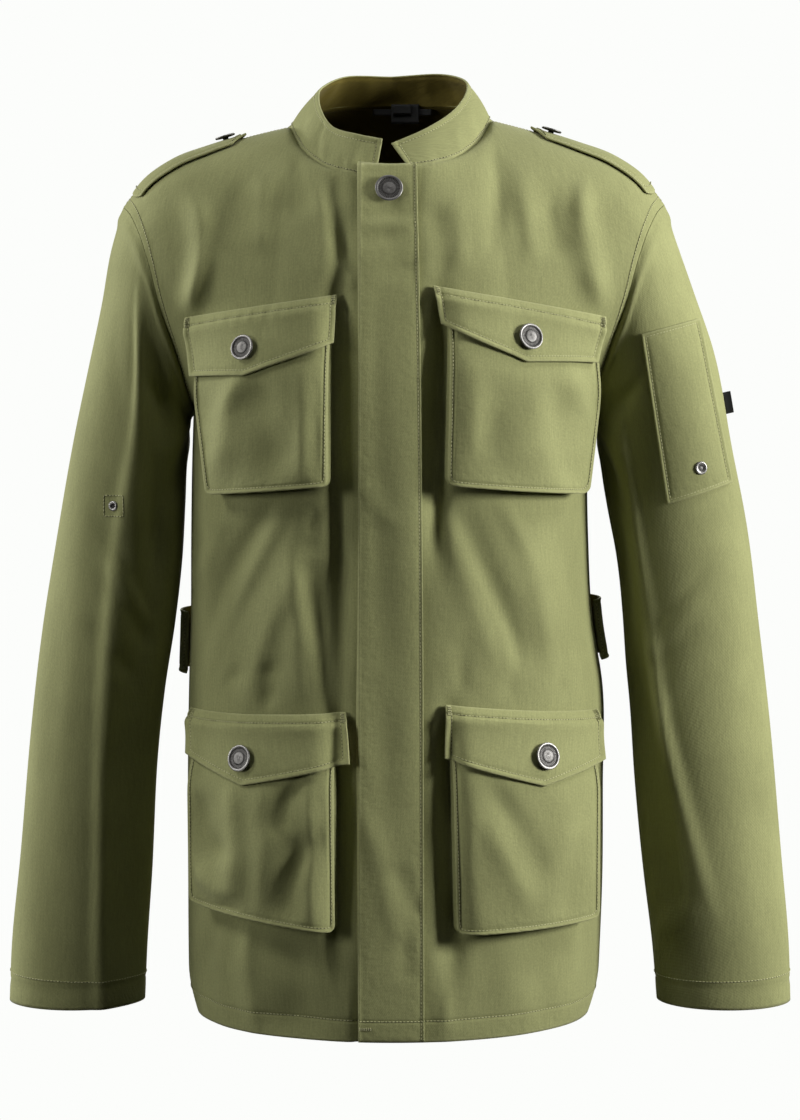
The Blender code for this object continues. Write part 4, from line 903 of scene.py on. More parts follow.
@dataclass(frozen=True)
class TapeFinish:
    """Polyester satin ribbon, woven black: a smooth face with fine cross ribs."""

    name: str = "black_satin_ribbon"
    colour: str = "1b1c1a"
    shade: str = "0c0d0c"
    rib_mm: float = 0.8
    roughness: float = 0.5

    def make(self) -> bpy.types.Material:
        """Build the material: cross ribs 0.8 mm apart, coarser than the real 0.2 mm."""
        made, node, shader = principled(self.name)
        cloth = node("UVMap", uv_map="cloth_mm").outputs["UV"]
        parts = node("SeparateXYZ", {0: cloth})
        turn = node("Math", {0: parts.outputs["Y"], 1: 2 * math.pi / self.rib_mm}, operation="MULTIPLY")
        rib = node("Math", {0: turn}, operation="SINE")
        tone = node("MapRange", {0: rib, 1: -1.0, 2: 1.0, 3: 0.0, 4: 1.0})
        mixed = node("Mix", {0: tone, 6: linear(self.shade), 7: linear(self.colour)}, data_type="RGBA")
        bump = node("Bump", {"Height": rib, "Distance": 0.0001, "Strength": 0.6})
        fill(shader, {"Base Color": mixed.outputs[2], "Normal": bump, "Roughness": self.roughness})
        return made


@dataclass(frozen=True)
class PaintFinish:
    """Matt white emulsion on the studio floor."""

    name: str = "white_studio_paint"
    colour: str = "f2f2f0"

    def make(self) -> bpy.types.Material:
        """Build the material: a faintly rolled, dull white."""
        made, node, shader = principled(self.name)
        place = node("TexCoord").outputs["Object"]
        rolled = node("TexNoise", {"Vector": place, "Scale": 60.0, "Detail": 2.0})
        bump = node("Bump", {"Height": rolled, "Distance": 0.0004, "Strength": 0.3})
        fill(shader, {"Normal": bump, "Base Color": linear(self.colour), "Roughness": 0.9})
        return made


# ---------------------------------------------------------------- making cloth
STITCH_PITCH = 0.0029
TACK_PITCH = 0.0015


@dataclass(frozen=True)
class StitchShape:
    """A strand's rings along the pitch, how dark each is (painted shade at its ends), its height, sink and
    half width.
    """

    share: float = 0.97
    rings: tuple[float, ...] = (-0.50, -0.38, -0.26, 0.26, 0.38, 0.50)
    # how dark each ring is: painted shade where the strand goes into its holes
    hollow: tuple[float, ...] = (1.0, 0.85, 0.0, 0.0, 0.85, 1.0)
    sides: int = 5
    height: float = 0.00036
    # the lift that keeps the darkened ends, the painted hole shade, above the cloth
    off: float = 0.00002
    half: float = 0.00043


@dataclass(frozen=True)
class Cut:
    """The flat piece that was cut: width, length and area, and how it is held."""

    width: float
    length: float
    area: float
    hold: Hold = Hold.HUNG


@dataclass
class Cloth:
    """Points of a piece's outer face with what its material and its wall need."""

    points: Array
    faces: Array
    cloth_mm: Array
    seam_mm: Array
    outside: Array


def arc_lengths(points: Array, axis: int) -> Array:
    """Distance walked along one axis of a grid of points, in millimetres."""
    step = np.linalg.norm(np.diff(points, axis=axis), axis=-1)
    start = np.zeros_like(np.take(step, [0], axis=axis))
    return np.concatenate([start, np.cumsum(step, axis=axis)], axis=axis) * 1000.0


def grid_faces(rows: int, columns: int, closed: bool = False) -> Array:
    """Quads of a grid of points, and round its columns again where it is closed."""
    index = np.arange(rows * columns).reshape(rows, columns)
    if closed:
        index = np.concatenate([index, index[:, :1]], axis=1)
    return np.stack([index[:-1, :-1], index[:-1, 1:], index[1:, 1:], index[1:, :-1]], axis=-1).reshape(-1, 4)


def grid_cloth(points: Array, outside: Array | Sequence[float], seam_mm: Array | float | None = None,
               closed: bool = False) -> Cloth:
    """Cloth from a grid of points.

    Args:
        points: rows x columns x 3 on the outer face.
        outside: a direction, or one at each point, that leaves the cloth's face.
        seam_mm: distance to the nearest seam or edge at each point, or None to take
            it from the grid's own edges.
        closed: whether the columns run round a tube.

    Returns:
        The cloth, with its map in millimetres along its rows and columns.
    """
    rows, columns = points.shape[:2]
    ring = np.concatenate([points, points[:, :1]], axis=1) if closed else points
    across, up = arc_lengths(ring, 1), arc_lengths(ring, 0)
    if seam_mm is None:
        seam_mm = np.minimum(up, up[-1:] - up)
        if not closed:
            seam_mm = np.minimum(seam_mm, np.minimum(across, across[:, -1:] - across))
        seam_mm = seam_mm[:, :columns]
    faces = grid_faces(rows, columns, closed)
    corner = grid_faces(rows, ring.shape[1])
    cloth_mm = np.stack([across, up], axis=-1).reshape(-1, 2)[corner]
    return Cloth(points.reshape(-1, 3), faces, cloth_mm.reshape(-1, 2),
                 np.broadcast_to(seam_mm, (rows, columns)).reshape(-1),
                 np.broadcast_to(np.asarray(outside, float), points.shape).reshape(-1, 3))


@dataclass
class Workshop:
    """The finishes, and what every sewn piece needs to be made and noted."""

    twill: bpy.types.Material
    thread: bpy.types.Material
    metal: bpy.types.Material
    tape: bpy.types.Material
    # the darker copy of the twill for the cloth's inner faces: painted shade
    inside: bpy.types.Material
    form: JacketForm
    rows: dict[str, list[tuple[Array, Array, float]]] = field(default_factory=dict)
    sheets: list[tuple[bpy.types.Object, Cut, list[str], list[bpy.types.Object]]] = field(
        default_factory=list)

    def add(self, name: str, mesh: bpy.types.Mesh, finish: bpy.types.Material, slot: str
            ) -> bpy.types.Object:
        """An object on the root body with its finish.

        Args:
            name: the object's name.
            mesh: its mesh.
            finish: its material.
            slot: not used.

        Returns:
            The object.
        """
        mesh.materials.append(finish)
        made = bpy.data.objects.new(name, mesh)
        bpy.context.scene.collection.objects.link(made)
        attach(made, "root")
        return made

    def sew(self, name: str, cloth: Cloth, wall: float, soften: int = 0,
            finish: bpy.types.Material | None = None, slot: str = "twill") -> bpy.types.Object:
        """Make a shell of cloth: its outer face, a wall by Solidify, and soft turned edges.

        Args:
            name: the object's name.
            cloth: the cloth.
            wall: its thickness.
            soften: levels of subdivision, which round its edges.
            finish: its material on both faces; unless given, the twill outside and the darker inside twill,
                painted shade, on the inner face.
            slot: not used; it is only handed on to add.

        Returns:
            The object.
        """
        faces = cloth.faces
        a, b, c, d = (cloth.points[faces[:, k]] for k in range(4))
        facing = np.cross(c - a, d - b)
        if np.sum(facing * cloth.outside[faces[:, 0]]) < 0:
            faces = faces[:, ::-1]
            cloth_mm = cloth.cloth_mm.reshape(-1, 4, 2)[:, ::-1].reshape(-1, 2)
        else:
            cloth_mm = cloth.cloth_mm
        mesh = bpy.data.meshes.new("sewn_" + name)
        mesh.from_pydata(cloth.points.tolist(), [], faces.tolist())
        layer = mesh.uv_layers.new(name="cloth_mm")
        layer.data.foreach_set("uv", cloth_mm.astype(np.float32).ravel())
        mesh_attribute(mesh, "seam_mm", cloth.seam_mm)
        mesh.shade_smooth()
        made = self.add("sewn_" + name, mesh, finish or self.twill, slot)
        # the wall's inner face takes the second slot: the darker inside twill, painted shade
        mesh.materials.append(finish or self.inside)
        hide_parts(name)
        shell = made.modifiers.new("wall", "SOLIDIFY")
        shell.material_offset = 1
        shell.thickness = wall
        shell.offset = -1.0
        shell.use_rim = True
        if soften:
            soft = made.modifiers.new("soft_edges", "SUBSURF")
            soft.levels = soft.render_levels = soften
            soft.uv_smooth = "PRESERVE_BOUNDARIES"
        return made

    def declare(self, made: bpy.types.Object, cut: Cut, rests_on: Sequence[str],
                with_pieces: Sequence[bpy.types.Object] = ()) -> None:
        """Note a piece of cloth with the size it was cut to; its stitches are made later."""
        self.sheets.append((made, cut, list(rests_on), list(with_pieces)))

    def declare_all(self) -> None:
        for made, cut, rests_on, with_pieces in self.sheets:
            piece = made.name.removeprefix("sewn_")
            if piece in self.rows:
                with_pieces = with_pieces + [self.make_stitches(piece)]
            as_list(rests_on)
            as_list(with_pieces)

    def stitch(self, piece: str, path: Array, normals: Array, pitch: float = STITCH_PITCH) -> None:
        """Note a row of stitches along a path on a piece."""
        self.rows.setdefault(piece, []).append((path, normals, pitch))

    def make_stitches(self, piece: str) -> bpy.types.Object:
        """Make a piece's rows: each stitch a thin strand that dips in at both ends.

        A stitch runs nearly the whole pitch; its height follows a half sine, and its
        round section shrinks at its ends, where it goes into its holes, and is darkened there with painted
        shade.

        Args:
            piece: the piece that carries them.

        Returns:
            The object, one mesh for all rows.
        """
        shape = StitchShape()
        rings, sides, along = len(shape.rings), shape.sides, np.array(shape.rings)
        turn = np.arange(sides) / sides * 2 * math.pi
        points_all, quads_all, caps_all, base = [], [], [], 0
        for path, normals, pitch in self.rows[piece]:
            reach = np.concatenate([[0.0], np.cumsum(np.linalg.norm(np.diff(path, axis=0), axis=1))])
            count = max(1, int(reach[-1] / pitch))
            at = (np.arange(count) + 0.5) * reach[-1] / count
            where = at[:, None] + along * (reach[-1] / count * shape.share)
            normal = unit(read_line(normals, reach, at))[:, None]
            centre = read_line(path, reach, where.ravel()).reshape(count, rings, 3)
            across = unit(np.cross(centre[:, -1:] - centre[:, :1], normal))
            arch = np.sin((along + 0.5) * math.pi)
            centre = centre + normal * (shape.height * arch + shape.off)[None, :, None]
            radius = (shape.half * (0.40 + 0.60 * np.sqrt(np.maximum(arch, 0))))[None, :, None, None]
            ring = np.cos(turn)[:, None] * across[:, :, None] + np.sin(turn)[:, None] * normal[:, :, None]
            points_all.append((centre[:, :, None] + radius * ring).reshape(-1, 3))
            shift = (np.arange(count) * rings * sides)[:, None, None] + base
            index = np.arange(rings * sides).reshape(rings, sides)
            quads_all.append((grid_faces(rings, sides, closed=True)[None, :, ::-1] + shift).reshape(-1, 4))
            caps_all.append((np.stack([index[0], index[-1, ::-1]])[None] + shift).reshape(-1, sides))
            base += count * rings * sides
        mesh = bpy.data.meshes.new("stitches_" + piece)
        mesh.from_pydata(np.concatenate(points_all).tolist(), [],
                         np.concatenate(quads_all).tolist() + np.concatenate(caps_all).tolist())
        mesh.shade_smooth()
        count = base // (rings * sides)
        # each ring's darkness: painted shade of the needle holes
        mesh_attribute(mesh, "hollow", np.tile(np.repeat(shape.hollow, sides), count))
        LOG.info("stitches on %s: %d", piece, count)
        return self.add("stitches_" + piece, mesh, self.thread, "twill")


def read_line(values: Array, reach: Array, where: Array) -> Array:
    """A line's values at distances along it."""
    return np.stack([np.interp(where, reach, values[:, k]) for k in range(values.shape[1])], axis=-1)


def turned_in(points: Array, row: int, along: int, gap: float, inward: Array, depth: float = 0.0045
              ) -> Array:
    """Lines that carry a seam edge over a small round and into the seam.

    The edge line steps forward by the gap while it sinks, then goes straight in.

    Args:
        points: the grid, whose first axis runs to the edge.
        row: index of the edge line, 0 or -1.
        along: index of the line before it.
        gap: how far the round reaches past the edge.
        inward: unit vectors into the garment, one for each point of the line.
        depth: how deep the seam allowance goes.

    Returns:
        Three lines, in order from the edge.
    """
    edge = points[row]
    forward = unit(edge - points[along])
    return np.stack([edge + forward * gap * 0.62 + inward * gap * 0.35,
                     edge + forward * gap + inward * gap * 1.2,
                     edge + forward * gap + inward * depth])


def mesh_attribute(mesh: bpy.types.Mesh, name: str, values: Array) -> None:
    """Give each point of a mesh a number that its material reads."""
    made = mesh.attributes.new(name, "FLOAT", "POINT")
    made.data.foreach_set("value", np.ascontiguousarray(values, dtype=np.float32))


def run(start: Sequence[float], end: Sequence[float], count: int) -> Array:
    """Evenly spaced pairs of parameters from one pair to another."""
    return np.stack([np.linspace(a, b, count) for a, b in zip(start, end)], axis=-1)


def shares(count: int, extra: Sequence[float] = (), start: float = 0.0, end: float = 1.0) -> Array:
    """Even shares from start to end, with some extra ones among them."""
    return np.unique(np.concatenate([np.linspace(start, end, count), np.asarray(extra, float)]))


def seen_normals(surface: Surface, u: Array, v: Array, towards: Sequence[float]) -> Array:
    """Unit normals of a piece given by its places, on the side of a direction.

    Args:
        surface: gives the piece's points at two coordinates.
        u: first coordinates.
        v: second coordinates.
        towards: a direction that the normals agree with.

    Returns:
        The normals.
    """
    e = 0.0008
    n = unit(np.cross(surface(u + e, v) - surface(u - e, v), surface(u, v + e) - surface(u, v - e)))
    return n * np.where(n @ np.asarray(towards, float) < 0, -1.0, 1.0)[..., None]


class Piece:
    """What all pieces of cloth share: a surface over the jacket's form, and rows along it."""

    name: str
    wall: float
    towards: Sequence[float] = (0.0, -1.0, 0.0)
    inside: Sequence[float] | None = None

    def surface(self, form: JacketForm, u: Array, v: Array) -> Array:
        """Points of the outer face at two parameters, which each piece says for itself."""
        raise NotImplementedError

    def normals(self, form: JacketForm, u: Array, v: Array) -> Array:
        """Unit normals of the outer face.

        They turn away from the piece's inside, or to where it is seen from if it has none.

        Args:
            form: the jacket's form.
            u: first parameter.
            v: second parameter.

        Returns:
            The normals.
        """
        if self.inside is None:
            return seen_normals(partial(self.surface, form), u, v, self.towards)
        return normals_of(partial(self.surface, form), u, v, np.array(self.inside))

    def sew(self, shop: Workshop, cloth: Cloth, cut: Cut, rests_on: Sequence[str], soften: int = 1
            ) -> bpy.types.Object:
        """Args:
            shop: the workshop.
            cloth: its cloth.
            cut: the flat piece.
            rests_on: nodes that carry it.
            soften: levels that round its edges.

        Returns:
            The object.
        """
        made = shop.sew(self.name, cloth, self.wall, soften)
        shop.declare(made, cut, rests_on)
        return made

    def stitch(self, shop: Workshop, *lines: Array, pitch: float = STITCH_PITCH) -> None:
        """Note rows of stitches on the piece.

        Args:
            shop: the workshop.
            lines: each row's path, in the surface's two parameters.
            pitch: one stitch's length with its gap.
        """
        for line in lines:
            u, v = line[:, 0], line[:, 1]
            shop.stitch(self.name, self.surface(shop.form, u, v), self.normals(shop.form, u, v), pitch)

    def spot(self, form: JacketForm, u: float, v: float) -> tuple[Array, Array]:
        """One point of the outer face and its normal."""
        u, v = np.array([u]), np.array([v])
        return self.surface(form, u, v)[0], self.normals(form, u, v)[0]


class SidedPiece(Piece):
    """A piece that each side of the wearer has."""

    stem: str
    side: Side

    @property
    def name(self) -> str:
        """The node that this piece stands for."""
        return f"{self.stem}_{self.side.value}"


# ---------------------------------------------------------------- body panels
class BodyPanel(Piece):
    """What the fronts and the back share: their hem, their seams and the neckline's turning."""

    columns: int
    rows_low: int
    rows_high: int
    hem_stitch: float
    seam_gap: float
    groove: float = 0.0007
    groove_width: float = 0.0016
    near_seam: Sequence[float] = (0.985, 0.994)
    near_top: Sequence[float] = (0.9965,)
    near_hem: Sequence[float] = (-0.0036, -0.0022, -0.0011, 0.0, 0.0011, 0.0022, 0.0036)
    arm_row: float = 0.9765
    shoulder_row: float = 0.9905

    def hem_share(self, form: JacketForm, height: float) -> float:
        """The share up at a height above the hem."""
        return height / ((form.armpit_z - form.hem_z) / form.lower)

    def levels(self, form: JacketForm) -> Array:
        """Shares up, closer together round the hem's stitches and at the top.

        Args:
            form: the jacket's form.

        Returns:
            The shares in order.
        """
        hem = [self.hem_share(form, self.hem_stitch + d) for d in self.near_hem]
        return np.unique(np.concatenate([
            shares(self.rows_low, hem + [self.hem_share(form, 0.002)], 0.0, form.lower),
            shares(self.rows_high, self.near_top, form.lower, 1.0)]))

    def hem_groove(self, form: JacketForm, points: Array, s: Array) -> Array:
        """Depth of the line that the hem's stitches press in, fading at the seams.

        Args:
            form: the jacket's form.
            points: the panel's points.
            s: their shares across.

        Returns:
            The depth at each.
        """
        across = points[..., 2] - form.hem_z - self.hem_stitch
        return self.groove * bell(across, self.groove_width) * (1 - np.abs(s) ** 8)

    def turn_top(self, form: JacketForm, points: Array, normal: Array, s: Array) -> Array:
        """Add the top seam's turning, and at the neck the part inside the collar.

        Args:
            form: the jacket's form.
            points: the grid with its side turnings.
            normal: normals of the top row, side turnings among them.
            s: shares across of the same columns, 1 or more on the side turnings.

        Returns:
            The grid with three more rows.
        """
        lines = turned_in(points, -1, -3, self.seam_gap, -normal)
        neck = np.abs(s) < form.neck_share - 1e-6
        lines[:, neck] = form.into_collar(points[-1])[:, neck]
        return np.concatenate([points, lines], axis=0)


@dataclass
class FrontPanel(SidedPiece, BodyPanel):
    """One front, from its lap past the centre to the side seam and armhole."""

    side: Side
    stem: str = "front"
    wall: float = 0.0012
    columns: int = 84
    rows_low: int = 104
    rows_high: int = 84
    lap: float = 0.088
    hem_stitch: float = 0.0175
    seam_gap: float = 0.0005
    inside: Sequence[float] = (0.0, 0.02, -0.35)
    cut: Cut = Cut(0.275, 0.760, 0.200)

    def surface(self, form: JacketForm, s: Array, t: Array) -> Array:
        """The front's outer face, pressed in at the hem's stitches.

        The right front steps in under the lap.

        Args:
            form: the jacket's form.
            s: share across.
            t: share up.

        Returns:
            Points.
        """
        points = form.panel(self.side, Face.FRONT, s, t)
        if self.side is Side.RIGHT:
            points[..., 1] += form.under_lap(points[..., 0])
        points[..., 1] += self.hem_groove(form, points, s)
        return points

    def make(self, shop: Workshop) -> bpy.types.Object:
        """Build the panel with its turned-in seams, and note its stitches."""
        form, t = shop.form, self.levels(shop.form)
        s = shares(self.columns, self.near_seam, -self.lap, 1.0)
        s_grid, t_grid = np.meshgrid(s, t)
        points, normal = self.surface(form, s_grid, t_grid), self.normals(form, s_grid, t_grid)
        extra = turned_in(np.swapaxes(points, 0, 1), -1, -3, self.seam_gap, -normal[:, -1])
        points = np.concatenate([points, np.swapaxes(extra, 0, 1)], axis=1)
        top = np.concatenate([normal[-1], np.repeat(normal[-1, -1:], 3, axis=0)])
        points = self.turn_top(form, points, top, np.append(s, [1.0] * 3))
        made = self.sew(shop, grid_cloth(points, (0.0, -1.0, 0.2)), self.cut, ["collar"], 0)
        level, start = self.hem_share(form, self.hem_stitch), 0.02 if self.side is Side.LEFT else -0.05
        self.stitch(shop, run((start, level), (0.995, level), 300),
                    run((self.arm_row, form.lower), (self.arm_row, 0.997), 200))
        return made


@dataclass
class BackPanel(BodyPanel):
    """The back, one width from side seam to side seam."""

    name: str = "back"
    wall: float = 0.0012
    columns: int = 60
    rows_low: int = 86
    rows_high: int = 70
    hem_stitch: float = 0.0175
    seam_gap: float = 0.0005
    inside: Sequence[float] = (0.0, -0.02, -0.35)
    cut: Cut = Cut(0.530, 0.800, 0.360)

    def surface(self, form: JacketForm, s: Array, t: Array) -> Array:
        """The back's outer face; negative s is the wearer's right.

        Args:
            form: the jacket's form.
            s: share across, -1 to 1.
            t: share up.

        Returns:
            Points.
        """
        s, t = np.broadcast_arrays(s, t)
        right = form.panel(Side.RIGHT, Face.BACK, np.abs(s), t)
        left = form.panel(Side.LEFT, Face.BACK, np.abs(s), t)
        points = np.where((s < 0)[..., None], right, left)
        points[..., 1] -= self.hem_groove(form, points, s)
        return points

    def make(self, shop: Workshop) -> bpy.types.Object:
        """Build the panel with its turned-in seams, and note its stitches."""
        form, t = shop.form, self.levels(shop.form)
        half = shares(self.columns, self.near_seam, 0.0, 1.0)
        s = np.concatenate([-half[:0:-1], half])
        s_grid, t_grid = np.meshgrid(s, t)
        points, normal = self.surface(form, s_grid, t_grid), self.normals(form, s_grid, t_grid)
        turned = np.swapaxes(points, 0, 1)
        last = np.swapaxes(turned_in(turned, -1, -3, self.seam_gap, -normal[:, -1]), 0, 1)
        first = np.swapaxes(turned_in(turned, 0, 2, self.seam_gap, -normal[:, 0]), 0, 1)[:, ::-1]
        points = np.concatenate([first, points, last], axis=1)
        top = np.concatenate([np.repeat(normal[-1, :1], 3, axis=0), normal[-1],
                              np.repeat(normal[-1, -1:], 3, axis=0)])
        points = self.turn_top(form, points, top, np.concatenate([[1.0] * 3, s, [1.0] * 3]))
        made = self.sew(shop, grid_cloth(points, (0.0, 1.0, 0.2)), self.cut, ["collar"], 0)
        level = self.hem_share(form, self.hem_stitch)
        self.stitch(shop, run((-0.995, level), (0.995, level), 600),
                    *(run((self.arm_row * sign, form.lower), (self.arm_row * sign, 0.997), 200)
                      for sign in (-1.0, 1.0)),
                    *(run(((form.neck_share + 0.01) * sign, self.shoulder_row),
                          (0.99 * sign, self.shoulder_row), 120) for sign in (-1.0, 1.0)))
        return made


@dataclass
class SleevePanel(SidedPiece):
    """A long sleeve, from the armhole to its open, hemmed cuff."""

    side: Side
    stem: str = "sleeve"
    wall: float = 0.0012
    columns: int = 108
    rows: int = 156
    cuff_stitch: float = 0.0185
    near_cuff: Sequence[float] = (-0.0034, -0.0017, 0.0, 0.0017, 0.0034)
    groove: float = 0.0006
    swell: float = 0.0016
    swell_at: float = 0.022
    arm_gap: float = 0.0011
    cut: Cut = Cut(0.400, 0.640, 0.205)

    def surface(self, form: JacketForm, q: Array, v: Array) -> Array:
        """The sleeve's outer face: full below the armhole's seam, pressed in above the cuff.

        Args:
            form: the jacket's form.
            q: turn round.
            v: share down.

        Returns:
            Points.
        """
        points = form.sleeve(self.side, q, v)
        rows = form.arms[self.side]
        middle = (rows.at("x_in", v) + rows.at("x_out", v)) / 2 * self.side.sign
        away = unit(np.stack([points[..., 0] - middle, points[..., 1] - rows.at("y", v), 0 * points[..., 0]],
                             axis=-1))
        above = points[..., 2] - form.cuff_z
        press = -self.groove * bell(above - self.cuff_stitch, 0.0016)
        press = press + self.swell * bell(v - self.swell_at, 0.012)
        return points + away * press[..., None]

    def make(self, shop: Workshop) -> bpy.types.Object:
        """Build the sleeve with its head turned into the armhole, and note its cuff stitches."""
        form = shop.form
        q = np.arange(self.columns) / self.columns
        cuff = [1 - (self.cuff_stitch + d) / SLEEVE_LENGTH for d in self.near_cuff]
        v = np.unique(np.concatenate([np.linspace(0, 1, self.rows) ** 1.15, cuff, [0.004, 0.010, 0.9965]]))
        q_grid, v_grid = np.meshgrid(q, v)
        points = self.surface(form, q_grid, v_grid)
        points[0] += unit(points[2] - points[0]) * self.arm_gap
        axis = points.mean(axis=1, keepdims=True)
        away = unit(points - axis)
        head = turned_in(points, 0, 2, self.arm_gap * 0.8, -away[0])[::-1]
        points = np.concatenate([head, points], axis=0)
        away = np.concatenate([np.repeat(away[:1], 3, axis=0), away], axis=0)
        made = self.sew(shop, grid_cloth(points, away, closed=True), self.cut,
                        [self.name.replace("sleeve", "front"), "back"], 0)
        turn = np.linspace(0, 1, 420)
        level = np.full(turn.shape, 1 - self.cuff_stitch / SLEEVE_LENGTH)
        path = self.surface(form, turn, level)
        shop.stitch(self.name, path, unit(path - path.mean(axis=0)))
        return made


# ---------------------------------------------------------------- what lies on the fronts
ROLL_AT = 0.42
ROW_DEPTH = 0.0008
ROW_WIDTH = 0.0012
TOWARDS_FRONT = (0.0, -1.0, 0.0)


def rolled_edge(distance: Array, row: float, height: float = 0.0006) -> Array:
    """Relief of a turned edge: a roll just inside it, and a groove where it is stitched.

    Args:
        distance: distance to the edge.
        row: distance of the stitches from it.
        height: height of the roll.

    Returns:
        The relief.
    """
    roll = row * ROLL_AT
    return height * bell(distance - roll, roll) - ROW_DEPTH * bell(distance - row, ROW_WIDTH)


def close_to_ends(count: int, ends: Sequence[float]) -> Array:
    """Even shares from 0 to 1 with more at given distances from both ends."""
    ends = np.asarray(ends, float)
    return np.unique(np.concatenate([np.linspace(0, 1, count), ends, 1 - ends]))


@dataclass(frozen=True)
class FlyRow:
    """The fly's two edges at a height."""

    z: float
    x_free: float
    x_sewn: float


@dataclass
class Fly(Piece):
    """The strip over the lap of both fronts, neck to hem, that hides their fastening."""

    name: str = "placket"
    wall: float = 0.0018
    lift: float = 0.0031
    rows: int = 150
    edge_row: float = 0.0026
    hem_row: float = 0.0170
    limit: float = -0.050
    run_on: float = 0.006
    free_roll: float = 0.0006
    free_at: float = 0.0011
    hem_groove: float = 0.0005
    hem_width: float = 0.0014
    near_hem: tuple[float, ...] = (-0.0022, -0.0011, 0.0, 0.0011, 0.0022)
    near_edges: tuple[float, ...] = (0.014, 0.030, 0.048, 0.070)
    row_gap: float = 0.0015
    hem_span: tuple[float, float] = (-0.0262, 0.0256)
    tack_end: float = -0.0160
    tacks: tuple[float, ...] = (0.0100, 0.0108, 0.0116)
    cut: Cut = Cut(0.053, 0.716, 0.0370, Hold.LAID)
    edges: tuple[FlyRow, ...] = in_mm(
        FlyRow, (-744, -26.8, 26.2), (-400, -26.6, 25), (-150, -26.2, 22.5), (-40.5, -25.5, 20.5))
    creases: tuple[Crease, ...] = in_mm(
        Crease, (-22, -84, 12, -80, 4, -1.6), (-20, -90, 21, -88, 4.5, 1.6, 2),
        (-24, -101, 4, -98.5, 4.5, -1.6), (-6, -128, 22, -124, 7, -1.3), (-20, -295, 2, -328, 6, 1.6, 2),
        (-10, -150, -8, -430, 8, -1.6, 3), (8, -250, 10, -560, 9, 1.3, -3),
        (-20, -560, 2, -660, 6, 2.6, -2), (5, -602, 20, -640, 5, -2.1, 1), (11, -660, 12, -692, 5, -2.1),
        (-12, -460, -6, -550, 8, -1.6, -3))

    def surface(self, form: JacketForm, x: Array, z: Array) -> Array:
        """Points of the strip's outer face; above the neckline it runs straight on.

        Args:
            form: the jacket's form.
            x: places' x.
            z: places' z.

        Returns:
            The points.
        """
        x, z = paired(x, z)
        table = Table(self.edges)
        free, sewn = table.at("x_free", z), table.at("x_sewn", z)
        relief = self.free_roll * bell(x - free - self.free_at, self.free_at)
        relief = relief + rolled_edge(sewn - x, self.edge_row)
        relief = relief - self.hem_groove * bell(z - self.edges[0].z - self.hem_row, self.hem_width)
        relief = relief + relief_of(self.creases, x, z)
        low = np.minimum(z, self.limit)
        base = form.over_front(Side.LEFT, x, low, self.lift + relief)
        below = form.over_front(Side.LEFT, x, low - self.run_on, self.lift + relief)
        return base + (base - below) / self.run_on * np.maximum(z - self.limit, 0.0)[..., None]

    def make(self, shop: Workshop) -> bpy.types.Object:
        """Build the strip and note its stitches."""
        form, table, hem = shop.form, Table(self.edges), self.edges[0].z
        z = np.unique(np.concatenate([
            np.linspace(hem, self.edges[-1].z, self.rows),
            hem + self.hem_row + np.array(self.near_hem)]))
        share = close_to_ends(8, self.near_edges)
        free, sewn = table.at("x_free", z)[:, None], table.at("x_sewn", z)[:, None]
        x, z_grid = np.broadcast_arrays(free + (sewn - free) * share, z[:, None])
        cloth = grid_cloth(self.surface(form, x, z_grid), TOWARDS_FRONT)
        made = self.sew(shop, cloth, self.cut, ["front_left", "front_right"])
        up = np.linspace(hem + self.row_gap, self.edges[-1].z - self.row_gap, 500)
        left, right = self.hem_span
        self.stitch(shop, np.stack([table.at("x_sewn", up) - self.edge_row, up], axis=-1),
                    run((left, hem + self.hem_row), (right, hem + self.hem_row), 40))
        self.stitch(shop, *(run((left, hem + height), (self.tack_end, hem + height), 12)
                            for height in self.tacks), pitch=TACK_PITCH)
        return made


Corner = tuple[float, float]


def without_top(corners: Array, top: tuple[int, int], sides: tuple[int, int]) -> Array:
    """An outline whose top side is moved 6 cm up along its two neighbours.

    Args:
        corners: the outline.
        top: indices of the top side's corners.
        sides: indices of the corners below them.

    Returns:
        The outline, for distances to all sides but the top one.
    """
    raised = corners.copy()
    for k, below in zip(top, sides):
        way = corners[k] - corners[below]
        raised[k] = corners[k] + way / np.linalg.norm(way) * 0.06
    return raised


def rounded(corners: Array, radius: float) -> Array:
    """A polyline whose inner corners are cut by short curves."""
    line = [corners[0]]
    t = np.linspace(0, 1, 6)[:, None]
    for before, corner, after in zip(corners[:-2], corners[1:-1], corners[2:]):
        a = corner + (before - corner) / np.linalg.norm(before - corner) * radius
        b = corner + (after - corner) / np.linalg.norm(after - corner) * radius
        line += list((1 - t) ** 2 * a + 2 * t * (1 - t) * corner + t ** 2 * b)
    return np.array(line + [corners[-1]])


